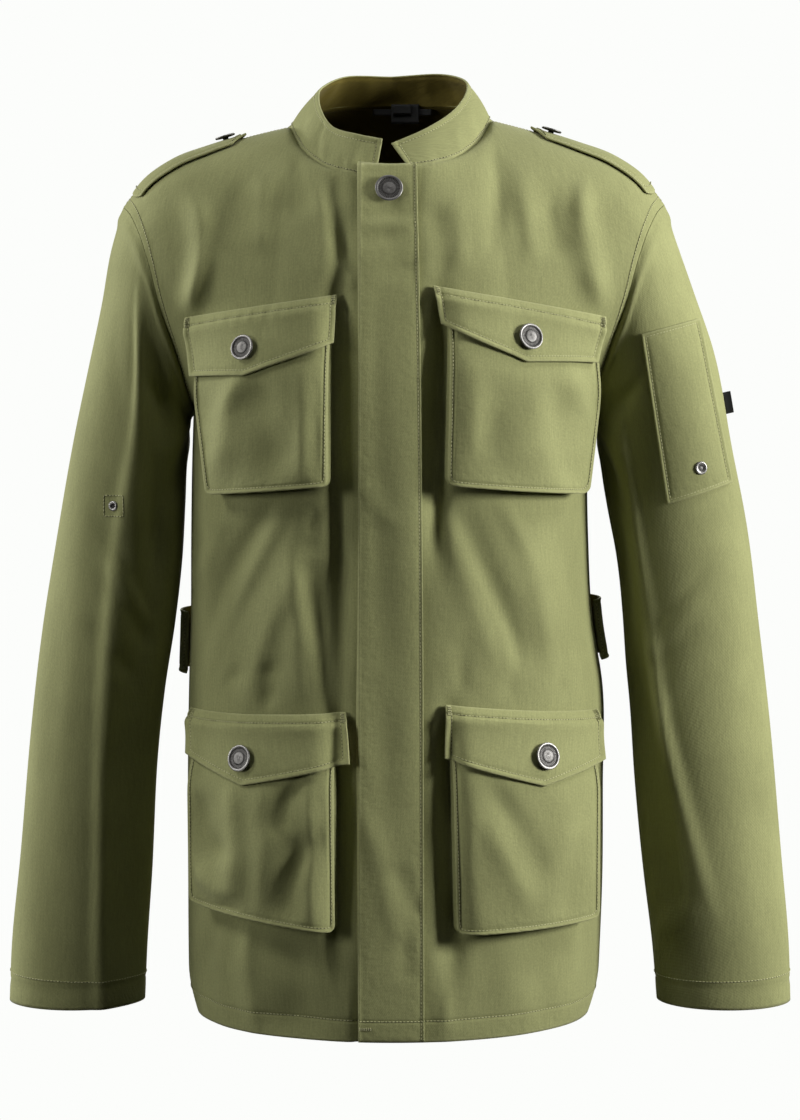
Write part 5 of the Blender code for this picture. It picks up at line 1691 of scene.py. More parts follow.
@dataclass
class PocketFlap(Piece):
    """A pointed pocket flap, sewn and puffed along its top, lying over the bag."""

    name: str
    side: Side
    top_in: Corner
    top_out: Corner
    low_in: Corner
    low_out: Corner
    point: Corner
    button: tuple[float, float, float]
    wall: float = 0.0018
    off_panel: float = 0.0012
    mouth: float = 0.0060
    depth: float = 0.0150
    top_row: float = 0.0072
    low_row: float = 0.0044
    clear: float = 0.0031
    lift_run: float = 0.0125
    bag_from: float = 0.012
    bag_run: float = 0.055
    groove: float = 0.0007
    roll: float = 0.0007
    tack: float = 0.0075
    tacks: tuple[float, ...] = (0.0, 0.0008, 0.0016)
    puff: float = 0.0013
    ripple: float = 0.0003
    ripples_per_m: float = 610.0
    drop: float = 0.062
    area: float = 0.0072
    near_sides: tuple[float, ...] = (0.006, 0.014, 0.024, 0.036, 0.05)
    near_edges: tuple[float, ...] = (0.03, 0.06, 0.09)
    near_row: tuple[float, ...] = (0.11, 0.135, 0.15, 0.165, 0.185)

    def corners(self) -> Array:
        """The outline from the inner top corner round the outside."""
        return np.array([self.top_in, self.top_out, self.low_out, self.point, self.low_in])

    def below(self, x: Array, z: Array) -> Array:
        """How far a place lies below the sewn edge."""
        share = (x - self.top_in[0]) / (self.top_out[0] - self.top_in[0])
        return self.top_in[1] + (self.top_out[1] - self.top_in[1]) * share - z

    def bag_stand(self, depth: Array) -> Array:
        """How far the bag's face stands off the panel, by depth below the seam."""
        return self.mouth + (self.depth - self.mouth) * ease((depth - self.bag_from) / self.bag_run)

    def surface(self, form: JacketForm, x: Array, z: Array) -> Array:
        """Points of the flap's outer face seen at (x, z)."""
        depth = self.below(x, z)
        lie = self.off_panel + self.wall
        high = self.bag_stand(depth) + self.clear + self.wall
        stand = lie + (high - lie) * ease(depth / self.lift_run)
        edge = edge_distance(without_top(self.corners(), (0, 1), (4, 2)), x, z)
        puff = self.puff * np.sin(math.pi * np.clip(depth / self.top_row, 0, 1)) ** 0.8
        relief = puff - self.groove * bell(depth - self.top_row - 0.0004, ROW_WIDTH)
        ripple = (self.ripple * np.sin(x * self.ripples_per_m + 3 * z)
                  * bell(depth - self.top_row, 0.006))
        relief = relief + ripple + rolled_edge(edge, self.low_row, self.roll)
        return form.over_front(self.side, x, z, stand + relief)

    def make(self, shop: Workshop) -> bpy.types.Object:
        """Build the flap on a grid from its sewn edge to its point, and note its stitches."""
        form = shop.form
        bend = (self.point[0] - self.top_in[0]) / (self.top_out[0] - self.top_in[0])
        u = np.unique(np.concatenate([close_to_ends(34, self.near_sides), [bend]]))
        v = np.unique(np.concatenate([close_to_ends(17, self.near_edges), self.near_row]))
        u_grid, v_grid = np.meshgrid(u, v)
        keys = [0.0, bend, 1.0]
        top = [np.interp(u_grid, [0, 1], [self.top_in[k], self.top_out[k]]) for k in (0, 1)]
        low = [np.interp(u_grid, keys, [self.low_in[k], self.point[k], self.low_out[k]]) for k in (0, 1)]
        x, z = (top[k] + (low[k] - top[k]) * v_grid for k in (0, 1))
        cut = Cut(abs(self.top_out[0] - self.top_in[0]) * 1.06, self.drop, self.area, Hold.HUNG)
        made = self.sew(shop, grid_cloth(self.surface(form, x, z), TOWARDS_FRONT), cut,
                        ["front_" + self.side.value])
        corners = self.corners()
        self.stitch(shop, walk(inset_outline(corners, (0.0015,) + (self.low_row,) * 4)[[1, 2, 3, 4, 0]]),
                    walk(inset_outline(corners, (self.top_row,) + (0.0006,) * 4)[:2]))
        inner = inset_outline(corners, (0.0012, 0.0020, 0.004, 0.004, 0.0020))
        for k, below in ((0, 4), (1, 2)):
            way = (inner[below] - inner[k]) / np.linalg.norm(inner[below] - inner[k])
            for shift in self.tacks:
                inward = 1 if inner[1 - k][0] > inner[k][0] else -1
                start = inner[k] + np.array([1.0, 0.0]) * shift * inward
                self.stitch(shop, start + way * np.linspace(0.0, self.tack, 8)[:, None], pitch=TACK_PITCH)
        return made

    def make_button(self, shop: Workshop, name: str) -> None:
        """Set the flap's shank button on it."""
        x, z, radius = self.button
        ShankButton(name, radius).make(shop, *self.spot(shop.form, x, z))


@dataclass
class BellowsPocket(Piece):
    """A bag under a flap: a stitched face that stands on a pleated gusset."""

    name: str
    side: Side
    top_in: Corner
    top_out: Corner
    low_in: Corner
    low_out: Corner
    corner: float
    flap: PocketFlap
    creases: tuple[Crease, ...] = ()
    wall: float = 0.0011
    rim: float = 0.0018
    side_row: float = 0.0026
    low_row: float = 0.0038
    crown: float = 0.0025
    roll: float = 0.0008
    gusset: float = 0.024
    gusset_seam_mm: float = 6.0
    near_sides: tuple[float, ...] = (0.006, 0.014, 0.024, 0.034, 0.046)
    near_low: tuple[float, ...] = (0.006, 0.012, 0.02, 0.03, 0.045)
    profile: tuple[Corner, ...] = (
        (-0.0010, 0.84), (-0.0026, 0.62), (-0.0020, 0.46), (-0.0004, 0.36), (0.0004, 0.26),
        (0.0000, 0.12), (-0.0006, 0.0))

    def face_share(self, x: Array, z: Array) -> tuple[Array, Array]:
        """Shares across and down the face at a place, in three rounds of averaging."""
        u = 0.5 + 0 * x
        v = u
        for _ in range(3):
            high = self.top_in[1] + (self.top_out[1] - self.top_in[1]) * u
            low = self.low_in[1] + (self.low_out[1] - self.low_in[1]) * u
            v = np.clip((high - z) / (high - low), 0, 1)
            inner = self.top_in[0] + (self.low_in[0] - self.top_in[0]) * v
            outer = self.top_out[0] + (self.low_out[0] - self.top_out[0]) * v
            u = np.clip((x - inner) / (outer - inner), 0, 1)
        return u, v

    def edge(self, x: Array, z: Array) -> Array:
        """Distance to the face's sides and bottom."""
        corners = np.array([self.top_in, self.top_out, self.low_out, self.low_in])
        return edge_distance(without_top(corners, (0, 1), (3, 2)), x, z)

    def surface(self, form: JacketForm, x: Array, z: Array) -> Array:
        """Points of the face: it crowns in the middle and is rolled along its edges."""
        u, v = self.face_share(x, z)
        crown = self.crown * np.sin(math.pi * u) * np.sin(math.pi * v ** 0.8)
        edge = self.edge(x, z)
        relief = rolled_edge(edge, self.low_row, self.roll)
        relief = relief + relief_of(self.creases, x, z) * ease((edge - 0.002) / 0.01)
        return form.over_front(self.side, x, z, self.flap.bag_stand(self.flap.below(x, z)) + crown + relief)

    def make(self, shop: Workshop) -> bpy.types.Object:
        """Build the face, with its gusset round three sides, and note its stitches.

        The gusset's profile says row by row how far out of the face's edge it lies, and how
        high, as a share of the face's own height.  It goes in under the face, out again in
        a pleat, and down to the seam on the front.

        Args:
            shop: the workshop.

        Returns:
            The object.
        """
        form = shop.form
        share = close_to_ends(20, self.near_sides)
        down = shares(24, 1 - np.array(self.near_low))
        u, v = np.meshgrid(share, down)
        height, width = abs(self.top_in[1] - self.low_in[1]), abs(self.top_out[0] - self.top_in[0])
        turn = np.clip((v - 1) * height / self.corner + 1, 0, 1)
        u = 0.5 + (u - 0.5) * (1 - 2 * self.corner / width * (1 - np.sqrt(1 - turn ** 2)))
        inner = [self.top_in[k] + (self.low_in[k] - self.top_in[k]) * v for k in (0, 1)]
        outer = [self.top_out[k] + (self.low_out[k] - self.top_out[k]) * v for k in (0, 1)]
        x, z = (inner[k] * (1 - u) + outer[k] * u for k in (0, 1))
        face = grid_cloth(self.surface(form, x, z), TOWARDS_FRONT, self.edge(x, z) * 1000.0)
        rows, columns = x.shape
        index = np.arange(rows * columns).reshape(rows, columns)
        rim = np.concatenate([index[:, 0], index[-1, 1:-1], index[::-1, -1]])
        path = np.stack([x.ravel()[rim], z.ravel()[rim]], axis=-1)
        way = unit(np.gradient(path, axis=0))
        out = np.stack([-way[:, 1], way[:, 0]], axis=-1)
        out *= np.sign(np.sum(out[len(out) // 2] * (path[len(path) // 2] - path.mean(axis=0))))
        stand = self.flap.bag_stand(self.flap.below(path[:, 0], path[:, 1]))
        lines = [form.over_front(self.side, path[:, 0] + o * out[:, 0], path[:, 1] + o * out[:, 1],
                                 self.rim + (stand - self.rim) * f) for o, f in self.profile]
        strip = np.concatenate([face.points[rim][None], np.array(lines)], axis=0)
        cloth = grid_cloth(strip, TOWARDS_FRONT, self.gusset_seam_mm)
        added = len(self.profile) * len(rim)
        remap = np.concatenate([rim, len(face.points) + np.arange(added)])
        joined = Cloth(np.concatenate([face.points, strip[1:].reshape(-1, 3)]),
                       np.concatenate([face.faces, orient(remap[cloth.faces], face, rim)]),
                       np.concatenate([face.cloth_mm, cloth.cloth_mm]),
                       np.concatenate([face.seam_mm, np.full(added, self.gusset_seam_mm)]),
                       np.concatenate([face.outside, np.tile(TOWARDS_FRONT, (added, 1))]))
        area = width * height * 0.94 + (2 * height + width) * self.gusset
        made = self.sew(shop, joined, Cut(width + 2 * self.gusset, height + 0.028, area, Hold.HUNG),
                        ["front_" + self.side.value])
        corners = np.array([self.top_in, self.low_in, self.low_out, self.top_out])
        inner = inset_outline(corners, (self.side_row, self.low_row, self.side_row, 0.0))
        self.stitch(shop, walk(rounded(inner, self.corner * 0.8)))
        return made


def orient(strip_faces: Array, face: Cloth, rim: Array) -> Array:
    """Turn a strip's faces so that they run on from the face that it is joined to.

    Args:
        strip_faces: quads of the strip.
        face: the face, whose rim the strip starts on.
        rim: the rim's vertices.

    Returns:
        The quads, with the shared edge taken in the other direction.
    """
    a, b = rim[0], rim[1]
    along = np.concatenate([face.faces, face.faces[:, :1]], axis=1)
    same = np.any((along[:, :-1] == a) & (along[:, 1:] == b))
    loop = np.concatenate([strip_faces, strip_faces[:, :1]], axis=1)
    strip_same = np.any((loop[:, :-1] == a) & (loop[:, 1:] == b))
    return strip_faces[:, ::-1] if same == strip_same else strip_faces


# ---------------------------------------------------------------- collar, straps and tabs
@dataclass
class Collar(Piece):
    """The stand collar on the neckline, with a small gap between its ends at the front."""

    name: str = "collar"
    wall: float = 0.0018
    columns: int = 116
    back_share: float = 0.42
    lift: float = 0.0010
    roll: float = 0.0022
    edge_row: float = 0.0048
    half_length: float = 0.215
    height: float = 0.030
    ends: tuple[float, float] = (0.095, 0.100)
    edge_roll: float = 0.0007
    seam_groove: float = 0.0006
    near_ends: tuple[float, ...] = (0.005, 0.012, 0.02, 0.03)
    near_edges: tuple[float, ...] = (0.04, 0.08, 0.84, 0.94, 0.97)
    inside: Sequence[float] = NECK_MIDDLE
    cut: Cut = Cut(0.440, 0.034, 0.0125, Hold.HUNG)
    top_right: tuple[Edge, ...] = in_mm(
        Edge, (0, 0, 52, 39.8), (0.2, 40, 45, 39.2), (0.35, 56.4, 27, 30.7), (0.5, 60.7, 7, 21.6),
        (0.62, 57.9, -18, 7.5), (0.75, 47.7, -43, -7.9), (0.88, 28.2, -62.5, -14.7),
        (1, 7.2, -70.5, -19.2))
    top_left: tuple[Edge, ...] = in_mm(
        Edge, (0, 0, 52, 39.8), (0.2, 40.5, 45, 41.5), (0.35, 57.3, 27, 37), (0.5, 62.7, 7, 29.3),
        (0.62, 58.8, -18, 17.2), (0.75, 46.7, -43, 2.7), (0.88, 25.3, -62.5, -11.3), (1, -0.8, -71, -23))
    # along the collar (x, from the back's middle) and up it (z)
    creases: tuple[Crease, ...] = in_mm(
        Crease, (-148, 4, -146, 26, 4, -1.6, 1), (-160, 2, -156, 14, 5, 0.9),
        (-184, -2, -180, 10, 4, -1.2), (-194, -2, -191, 9, 4, -1), (-120, -2, -112, 16, 6, -0.9),
        (120, -2, 126, 16, 6, -1), (186, -2, 182, 10, 4, -1), (160, 0, 158, 20, 7, 0.8),
        (-52, 2, -50, 26, 5, -2.2, 1), (-34, 0, -36, 22, 5, 1.7), (-18, 0, -17, 26, 4.5, -2.2),
        (6, 4, 4, 26, 5, 1.7), (24, 0, 26, 24, 4.5, -2.4), (46, 0, 44, 24, 5.5, 2), (68, 0, 71, 22, 5, -2))

    def surface(self, form: JacketForm, u: Array, k: Array) -> Array:
        """Points of the collar's outer face.

        Each side's foot follows the back neckline and then the front one, and its top
        follows its own table.  Between them the cloth bows out a little.

        Args:
            form: the jacket's form.
            u: -1 at the right end, 0 at the back's middle, 1 at the left end.
            k: share up.

        Returns:
            Points.
        """
        u, k = paired(u, k)
        a = np.abs(u)
        foot, top = np.zeros(u.shape + (3,)), np.zeros(u.shape + (3,))
        for side, end, table in ((Side.RIGHT, self.ends[0], Table(self.top_right)),
                                 (Side.LEFT, self.ends[1], Table(self.top_left))):
            back = form.necks[side, Face.BACK].point(a / self.back_share)
            share = 1 - (a - self.back_share) / (1 - self.back_share) * (1 - end)
            front = form.necks[side, Face.FRONT].point(share)
            here = ((u < 0) == (side is Side.RIGHT))[..., None]
            sign = np.array([side.sign, 1.0, 1.0])
            foot = np.where(here, np.where((a < self.back_share)[..., None], back, front) * sign, foot)
            top = np.where(here, table.point(a) * sign, top)
        foot[..., 1] += form.under_lap(foot[..., 0]) * ((foot[..., 0] < 0) & (foot[..., 1] < 0))
        foot = foot + unit(top - foot) * self.lift
        outward = unit((foot + top) / 2 - NECK_MIDDLE) * np.array([1.0, 1.0, 0.0])
        along, up = u * self.half_length, k * self.height
        bow = self.roll * (1 - ease((a - 0.55) / 0.3)) * np.sin(math.pi * k)
        relief = relief_of(self.creases, along, up)
        relief = relief + rolled_edge(self.height - up, self.edge_row, self.edge_roll)
        relief = relief + rolled_edge((1 - a) * self.half_length, self.edge_row, self.edge_roll)
        relief = relief - self.seam_groove * bell(up, 0.0020)
        k = k[..., None]
        return foot * (1 - k) + top * k + outward * (bow + relief)[..., None]

    def make(self, shop: Workshop) -> bpy.types.Object:
        """Build the collar and note its stitches."""
        form = shop.form
        half = close_to_ends(self.columns // 2, self.near_ends)
        u = np.concatenate([-half[:0:-1], half])
        k = shares(10, self.near_edges)
        u_grid, k_grid = np.meshgrid(u, k)
        points = self.surface(form, u_grid, k_grid)
        outward = unit(points - NECK_MIDDLE - points * [0.0, 0.0, 1.0])
        made = self.sew(shop, grid_cloth(points, outward), self.cut, ["front_left", "front_right", "back"])
        inset = self.edge_row / self.half_length
        low = self.edge_row / self.height
        corners = np.array([[-1 + inset, 0.04], [-1 + inset, 1 - low],
                            [1 - inset, 1 - low], [1 - inset, 0.04]])
        scale = [self.half_length, self.height]
        self.stitch(shop, walk(corners * scale) / scale, run((-0.995, 0.07), (0.995, 0.07), 400))
        return made


@dataclass(frozen=True)
class StrapRow:
    """Half width of a shoulder strap and its lift off the shoulder."""

    share: float
    half: float
    lift: float


@dataclass
class ShoulderStrap(SidedPiece):
    """A strap over the shoulder seam, sewn in at the armhole and pointed near the neck."""

    side: Side
    far: float
    near: float
    button_x: float
    stem: str = "shoulder_strap"
    wall: float = 0.0018
    trim: float = 0.0100
    edge_row: float = 0.0042
    off_seam: float = 0.0024
    straight: float = 0.855
    tip: float = 0.952
    end_row: float = 0.045
    button_radius: float = 0.0085
    button_sink: float = 0.0010
    length_over_gap: float = 1.14
    shape: tuple[StrapRow, ...] = in_mm(
        StrapRow, (0, 23.5, 1.2), (0.12, 23, 2.6), (0.35, 22.2, 4.2), (0.65, 21.5, 3.6), (0.86, 21, 3),
        (1, 1, 3.6))

    @property
    def inside(self) -> Sequence[float]:
        """A point inside the shoulder."""
        return self.side.sign * 0.15, 0.0, -0.3

    def surface(self, form: JacketForm, share: Array, width: Array) -> Array:
        """Points of the strap's outer face.

        Args:
            form: the jacket's form.
            share: 0 at the armhole, 1 at the point.
            width: -1 at the front edge, 1 at the back edge.

        Returns:
            Points.
        """
        share, width = paired(share, width)
        half = np.interp(share, [r.share for r in self.shape], [r.half for r in self.shape])
        sewn = self.far - self.trim * width ** 2
        x = self.side.sign * (sewn + (self.near - sewn) * share)
        y = form.side_y + half * width
        points, normals = form.over_shoulder(self.side, x, y)
        lift = Table(self.shape).at("lift", share)
        edge = np.minimum((1 - np.abs(width)) * half, (1 - share) * 0.10)
        off = (self.off_seam + 0.6 * (lift - 0.0012) * (0.3 + 0.7 * (1 - width ** 2))
               + rolled_edge(edge, self.edge_row))
        return points + normals * off[..., None]

    def make(self, shop: Workshop) -> bpy.types.Object:
        """Build the strap, note its stitches and set its button."""
        form = shop.form
        share = np.concatenate([np.linspace(0, 0.85, 36),
                                [0.865, 0.88, 0.90, 0.92, 0.94, 0.955, 0.97, 0.985]])
        width = close_to_ends(9, (0.03, 0.07, 0.11, 0.16)) * 2 - 1
        w_grid, s_grid = np.meshgrid(width, share)
        length = self.far - self.near
        made = self.sew(shop, grid_cloth(self.surface(form, s_grid, w_grid), (0.0, 0.0, 1.0)),
                        Cut(0.046, length * self.length_over_gap, 0.046 * length * 1.06, Hold.LAID),
                        ["front_" + self.side.value, "back"])
        inset = 1 - self.edge_row / 0.022
        tip = np.array([[self.straight, inset], [self.tip, 0.02], [self.straight, -inset]])
        self.stitch(shop, *(run((0.01, edge * inset), (self.straight, edge * inset), 120)
                            for edge in (-1.0, 1.0)),
                    walk(tip, 0.02), run((self.end_row, -inset), (self.end_row, inset), 30))
        place, normal = self.spot(form, (self.far - self.button_x) / length, 0.0)
        ShankButton("button_strap_" + self.side.value, self.button_radius).make(
            shop, place - normal * self.button_sink, normal)
        return made


@dataclass
class WaistTab(SidedPiece):
    """A tab over the side seam at the waist, sewn at both ends and bowed off the cloth."""

    side: Side
    z_top: float
    z_low: float
    bow: float
    stem: str = "waist_tab"
    y_front: float = -0.010
    y_back: float = 0.052
    off_panel: float = 0.0025
    wall: float = 0.0018
    edge_row: float = 0.0040
    inside: Sequence[float] = (0.0, 0.02, -0.43)
    cut: Cut = Cut(0.053, 0.072, 0.0036, Hold.LAID)

    def surface(self, form: JacketForm, share: Array, up: Array) -> Array:
        """Points of the tab's outer face, over the body's own rings.

        Args:
            form: the jacket's form.
            share: 0 at the front end, 1 at the back end.
            up: 0 at the low edge, 1 at the top edge.

        Returns:
            Points.
        """
        share, up = paired(share, up)
        y = self.y_front + (self.y_back - self.y_front) * share
        z = self.z_low + (self.z_top - self.z_low) * up
        depth = np.where(y < form.side_y, form.rings.at("y_front", z), form.rings.at("y_back", z))
        half, power = form.rings.at("half_" + self.side.value, z), form.rings.at("square", z)
        part = np.clip(np.abs((y - form.side_y) / (depth - form.side_y)), 0, 0.999)
        x = half * (1 - part ** power) ** (1 / power)
        out = unit(np.stack([self.side.sign * x / half ** 2, (y - form.side_y) / depth ** 2, 0 * x],
                            axis=-1))
        edge = np.minimum(up, 1 - up) * (self.z_top - self.z_low)
        stand = self.off_panel + self.bow * np.sin(math.pi * np.clip(share, 0, 1)) ** 0.8
        stand = stand + rolled_edge(edge, self.edge_row)
        return np.stack([self.side.sign * x, y, z], axis=-1) + out * stand[..., None]

    def make(self, shop: Workshop) -> bpy.types.Object:
        """Build the tab and note its stitches."""
        share, up = close_to_ends(34, (0.01,)), close_to_ends(9, (0.03, 0.07, 0.11))
        s_grid, u_grid = np.meshgrid(share, up)
        cloth = grid_cloth(self.surface(shop.form, s_grid, u_grid), (self.side.sign, 0.0, 0.0))
        made = self.sew(shop, cloth, self.cut, ["front_" + self.side.value, "back"])
        inset = self.edge_row / (self.z_top - self.z_low)
        self.stitch(shop, *(np.linspace(a, b, 60) for a, b in (
            ((0.02, inset), (0.98, inset)), ((0.02, 1 - inset), (0.98, 1 - inset)),
            ((0.06, inset), (0.06, 1 - inset)), ((0.94, inset), (0.94, 1 - inset)))))
        return made


# ---------------------------------------------------------------- sleeve pocket and trims
@dataclass
class SleevePocket(Piece):
    """The flat patch pocket on the wearer's left sleeve, closed by a snap."""

    name: str = "sleeve_pocket"
    corners: tuple[Corner, Corner, Corner, Corner] = (
        (0.2037, -0.1767), (0.2525, -0.1644), (0.2807, -0.2997), (0.2261, -0.3166))
    snap: Corner = (0.2524, -0.2866)
    wall: float = 0.0012
    lift: float = 0.0024
    puff: float = 0.0010
    puff_run: float = 0.022
    snap_sink: float = 0.0003
    edge_row: float = 0.0032
    towards: Sequence[float] = (0.3, -1.0, 0.0)
    cut: Cut = Cut(0.075, 0.150, 0.0090, Hold.LAID)

    def surface(self, form: JacketForm, x: Array, z: Array) -> Array:
        """Points of the patch: puffed in the middle, with turned edges."""
        corners = np.array(self.corners)
        edge = edge_distance(corners, x, z)
        puff = self.puff * ease(edge / self.puff_run)
        relief = rolled_edge(edge, self.edge_row)
        return form.over_sleeve(Side.LEFT, x, z, self.lift + puff + relief)

    def make(self, shop: Workshop) -> bpy.types.Object:
        """Build the patch, note its stitches and set its snap."""
        u, v = np.meshgrid(close_to_ends(20, (0.015, 0.03, 0.05, 0.07)),
                           close_to_ends(24, (0.008, 0.016, 0.03)))
        a, b, c, d = (np.array(p) for p in self.corners)
        u, v = u[..., None], v[..., None]
        flat = (a + (b - a) * u) * (1 - v) + (d + (c - d) * u) * v
        cloth = grid_cloth(self.surface(shop.form, flat[..., 0], flat[..., 1]), self.towards)
        made = self.sew(shop, cloth, self.cut, ["sleeve_left"])
        line = inset_outline(np.array(self.corners), (self.edge_row,) * 4)
        self.stitch(shop, walk(np.concatenate([line, line[:1]])))
        place, normal = self.spot(shop.form, *self.snap)
        Turned("sleeve_pocket_snap", SNAP_CAP).make(shop, place - self.snap_sink * normal, normal)
        return made


@dataclass
class SleeveStud(Piece):
    """The ring stud on the wearer's right sleeve, with a small box of stitches round it."""

    name: str = "sleeve_right"
    at: Corner = (-0.2288, -0.3175)
    half: float = 0.0085

    def surface(self, form: JacketForm, x: Array, z: Array) -> Array:
        """Points of the sleeve's own outer face."""
        return form.over_sleeve(Side.RIGHT, x, z, 0.0)

    def make(self, shop: Workshop) -> None:
        """Set the stud and note the stitches round it."""
        Turned("sleeve_snap_right", STUD_RING).make(shop, *self.spot(shop.form, *self.at))
        box = np.array([[-1, -1], [1, -1], [1, 1], [-1, 1], [-1, -1]]) * self.half + np.array(self.at)
        self.stitch(shop, walk(box))


@dataclass
class Trims:
    """The black tag on the sleeve, and label, size tab and hanger loop inside the neck."""

    wall: float = 0.0010
    neck_y: float = 0.0610
    bend: float = 0.0029
    bend_half: float = 0.031
    lean: float = 0.10
    wave: float = 0.0003
    tag_at: Corner = (0.02, 0.308)
    tag_width: float = 0.030
    tag_out: tuple[float, float, float] = (0.95, 0.05, 0.22)
    tag_reach: tuple[float, ...] = (0.0004, 0.0014, 0.0024, 0.0036, 0.0046, 0.0056, 0.0064, 0.0068)
    tag_wall: float = 0.0012
    label_cut: Cut = Cut(0.0240, 0.0168, 0.00040, Hold.LAID)

    def strip(self, shop: Workshop, name: str, x_range: Corner, z_range: Corner, off: float
              ) -> bpy.types.Object:
        """A strip of ribbon inside the back of the neck.

        Args:
            shop: the workshop.
            name: the node that it stands for.
            x_range: its two ends.
            z_range: its low and high edge.
            off: its distance off the neckline.

        Returns:
            The object.
        """
        x = np.linspace(*x_range, 24)[None, :]
        z = np.linspace(*z_range, 9)[:, None]
        share = (x - x_range[0]) / (x_range[1] - x_range[0])
        wave = self.wave * np.sin(5.0 * share + 40 * off)
        y = (self.neck_y - self.bend * (x / self.bend_half) ** 2 - off - wave
             - self.lean * (z_range[1] - z))
        points = np.stack(np.broadcast_arrays(x, y, z), axis=-1)
        return shop.sew(name, grid_cloth(points, TOWARDS_FRONT), self.wall, 0, shop.tape, "trim_black")

    def make(self, shop: Workshop) -> None:
        """Build the ribbons inside the neck, and the tag at the sleeve pocket's edge."""
        loop = self.strip(shop, "hanger_loop", (-0.0165, 0.0339), (0.0072, 0.0124), 0.0034)
        label = self.strip(shop, "neck_label", (-0.0008, 0.0228), (0.0000, 0.0164), 0.0048)
        size = self.strip(shop, "size_tab", (0.0008, 0.0161), (0.0082, 0.0158), 0.0064)
        shop.declare(label, self.label_cut, ["back"], [loop, size])
        v = np.linspace(0, 1, 24)
        turn, down = self.tag_at
        row = shop.form.sleeve(Side.LEFT, np.full(24, turn), down + self.tag_width * v, creased=False)
        reach = np.array(self.tag_reach)
        grid = row[:, None] + np.array(self.tag_out) * reach[None, :, None]
        grid[..., 1] += self.wave * np.sin(reach / reach[-1] * 3.0)
        tag = shop.sew("sleeve_tag", grid_cloth(grid, TOWARDS_FRONT), self.tag_wall, 0, shop.tape,
                       "trim_black")
        next(sheet for sheet in shop.sheets if sheet[0].name == "sewn_sleeve_left")[3].append(tag)


# ---------------------------------------------------------------- metal
@dataclass(frozen=True)
class TurnRow:
    """A ring of a round piece: its radius, height and how much patina it holds."""

    radius: float
    height: float
    hollow: float


SNAP_CAP = in_mm(
    TurnRow, (0, 1.2, 0.5), (0.8, 1.18, 0.5), (1.6, 1.04, 0.8), (2.1, 1, 1), (2.6, 1.14, 0.6),
    (3.2, 1.5, 0.2), (4, 1.82, 0), (4.6, 1.9, 0), (5.1, 1.68, 0), (5.4, 1.22, 0.3), (5.3, 0.7, 0.8),
    (5, 0.3, 1), (0, 0.3, 1))
STUD_RING = in_mm(
    TurnRow, (0, 0.6, 1), (1, 0.6, 1), (1.7, 0.62, 1), (2, 0.96, 0.6), (2.3, 1.42, 0.1), (2.8, 1.66, 0),
    (3.3, 1.68, 0), (3.8, 1.42, 0.1), (4.1, 1.06, 0.4), (4, 0.4, 1), (0, 0.4, 1))


@dataclass
class Turned:
    """A small round metal piece, made from rings."""

    name: str
    rows: tuple[TurnRow, ...]
    segments: int = 72
    ribs: int = 0
    rib_height: float = 0.00014

    def make(self, shop: Workshop, at: Array, facing: Array) -> bpy.types.Object:
        """Build the piece where it sits; both ends close in one point.

        Ribs add a cosine round the piece where the patina lies.

        Args:
            shop: the workshop.
            at: its middle on the cloth.
            facing: the way it faces.

        Returns:
            The object.
        """
        inner = self.rows[1:-1]
        radius, height, hollow = (np.array([getattr(row, name) for row in inner])
                                  for name in ("radius", "height", "hollow"))
        turn = np.arange(self.segments) / self.segments * 2 * math.pi
        z = unit(np.asarray(facing, float))
        x = unit(np.cross([0.0, 0.0, 1.0] if abs(z[2]) < 0.9 else [0.0, 1.0, 0.0], z))
        y = np.cross(z, x)
        rib = np.cos(self.ribs * turn)[None, :] * (hollow * (hollow < 0.95))[:, None] if self.ribs else 0.0
        level = height[:, None] + self.rib_height * rib * np.ones(self.segments)
        points = (at + radius[:, None, None] * (np.cos(turn)[:, None] * x + np.sin(turn)[:, None] * y)
                  + level[..., None] * z)
        count = len(inner) * self.segments
        ends = at + z * np.array([[self.rows[0].height], [self.rows[-1].height]])
        quads = grid_faces(len(inner), self.segments, closed=True)
        ring = np.arange(self.segments)
        after = np.roll(ring, -1)
        first = np.stack([np.full(self.segments, count), ring, after], axis=-1)
        last = np.stack([np.full(self.segments, count + 1), count - self.segments + after,
                         count - self.segments + ring], axis=-1)
        mesh = bpy.data.meshes.new("cast_" + self.name)
        mesh.from_pydata(np.concatenate([points.reshape(-1, 3), ends]).tolist(), [],
                         quads[:, ::-1].tolist() + first.tolist() + last.tolist())
        mesh.shade_smooth()
        worn = np.clip(hollow[:, None] - 0.3 * rib + np.zeros(self.segments), 0, 1)
        values = np.concatenate([worn.ravel(), [self.rows[0].hollow, self.rows[-1].hollow]])
        mesh_attribute(mesh, "hollow", values)
        made = shop.add("cast_" + self.name, mesh, shop.metal, "button_metal")
        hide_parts(self.name)
        return made


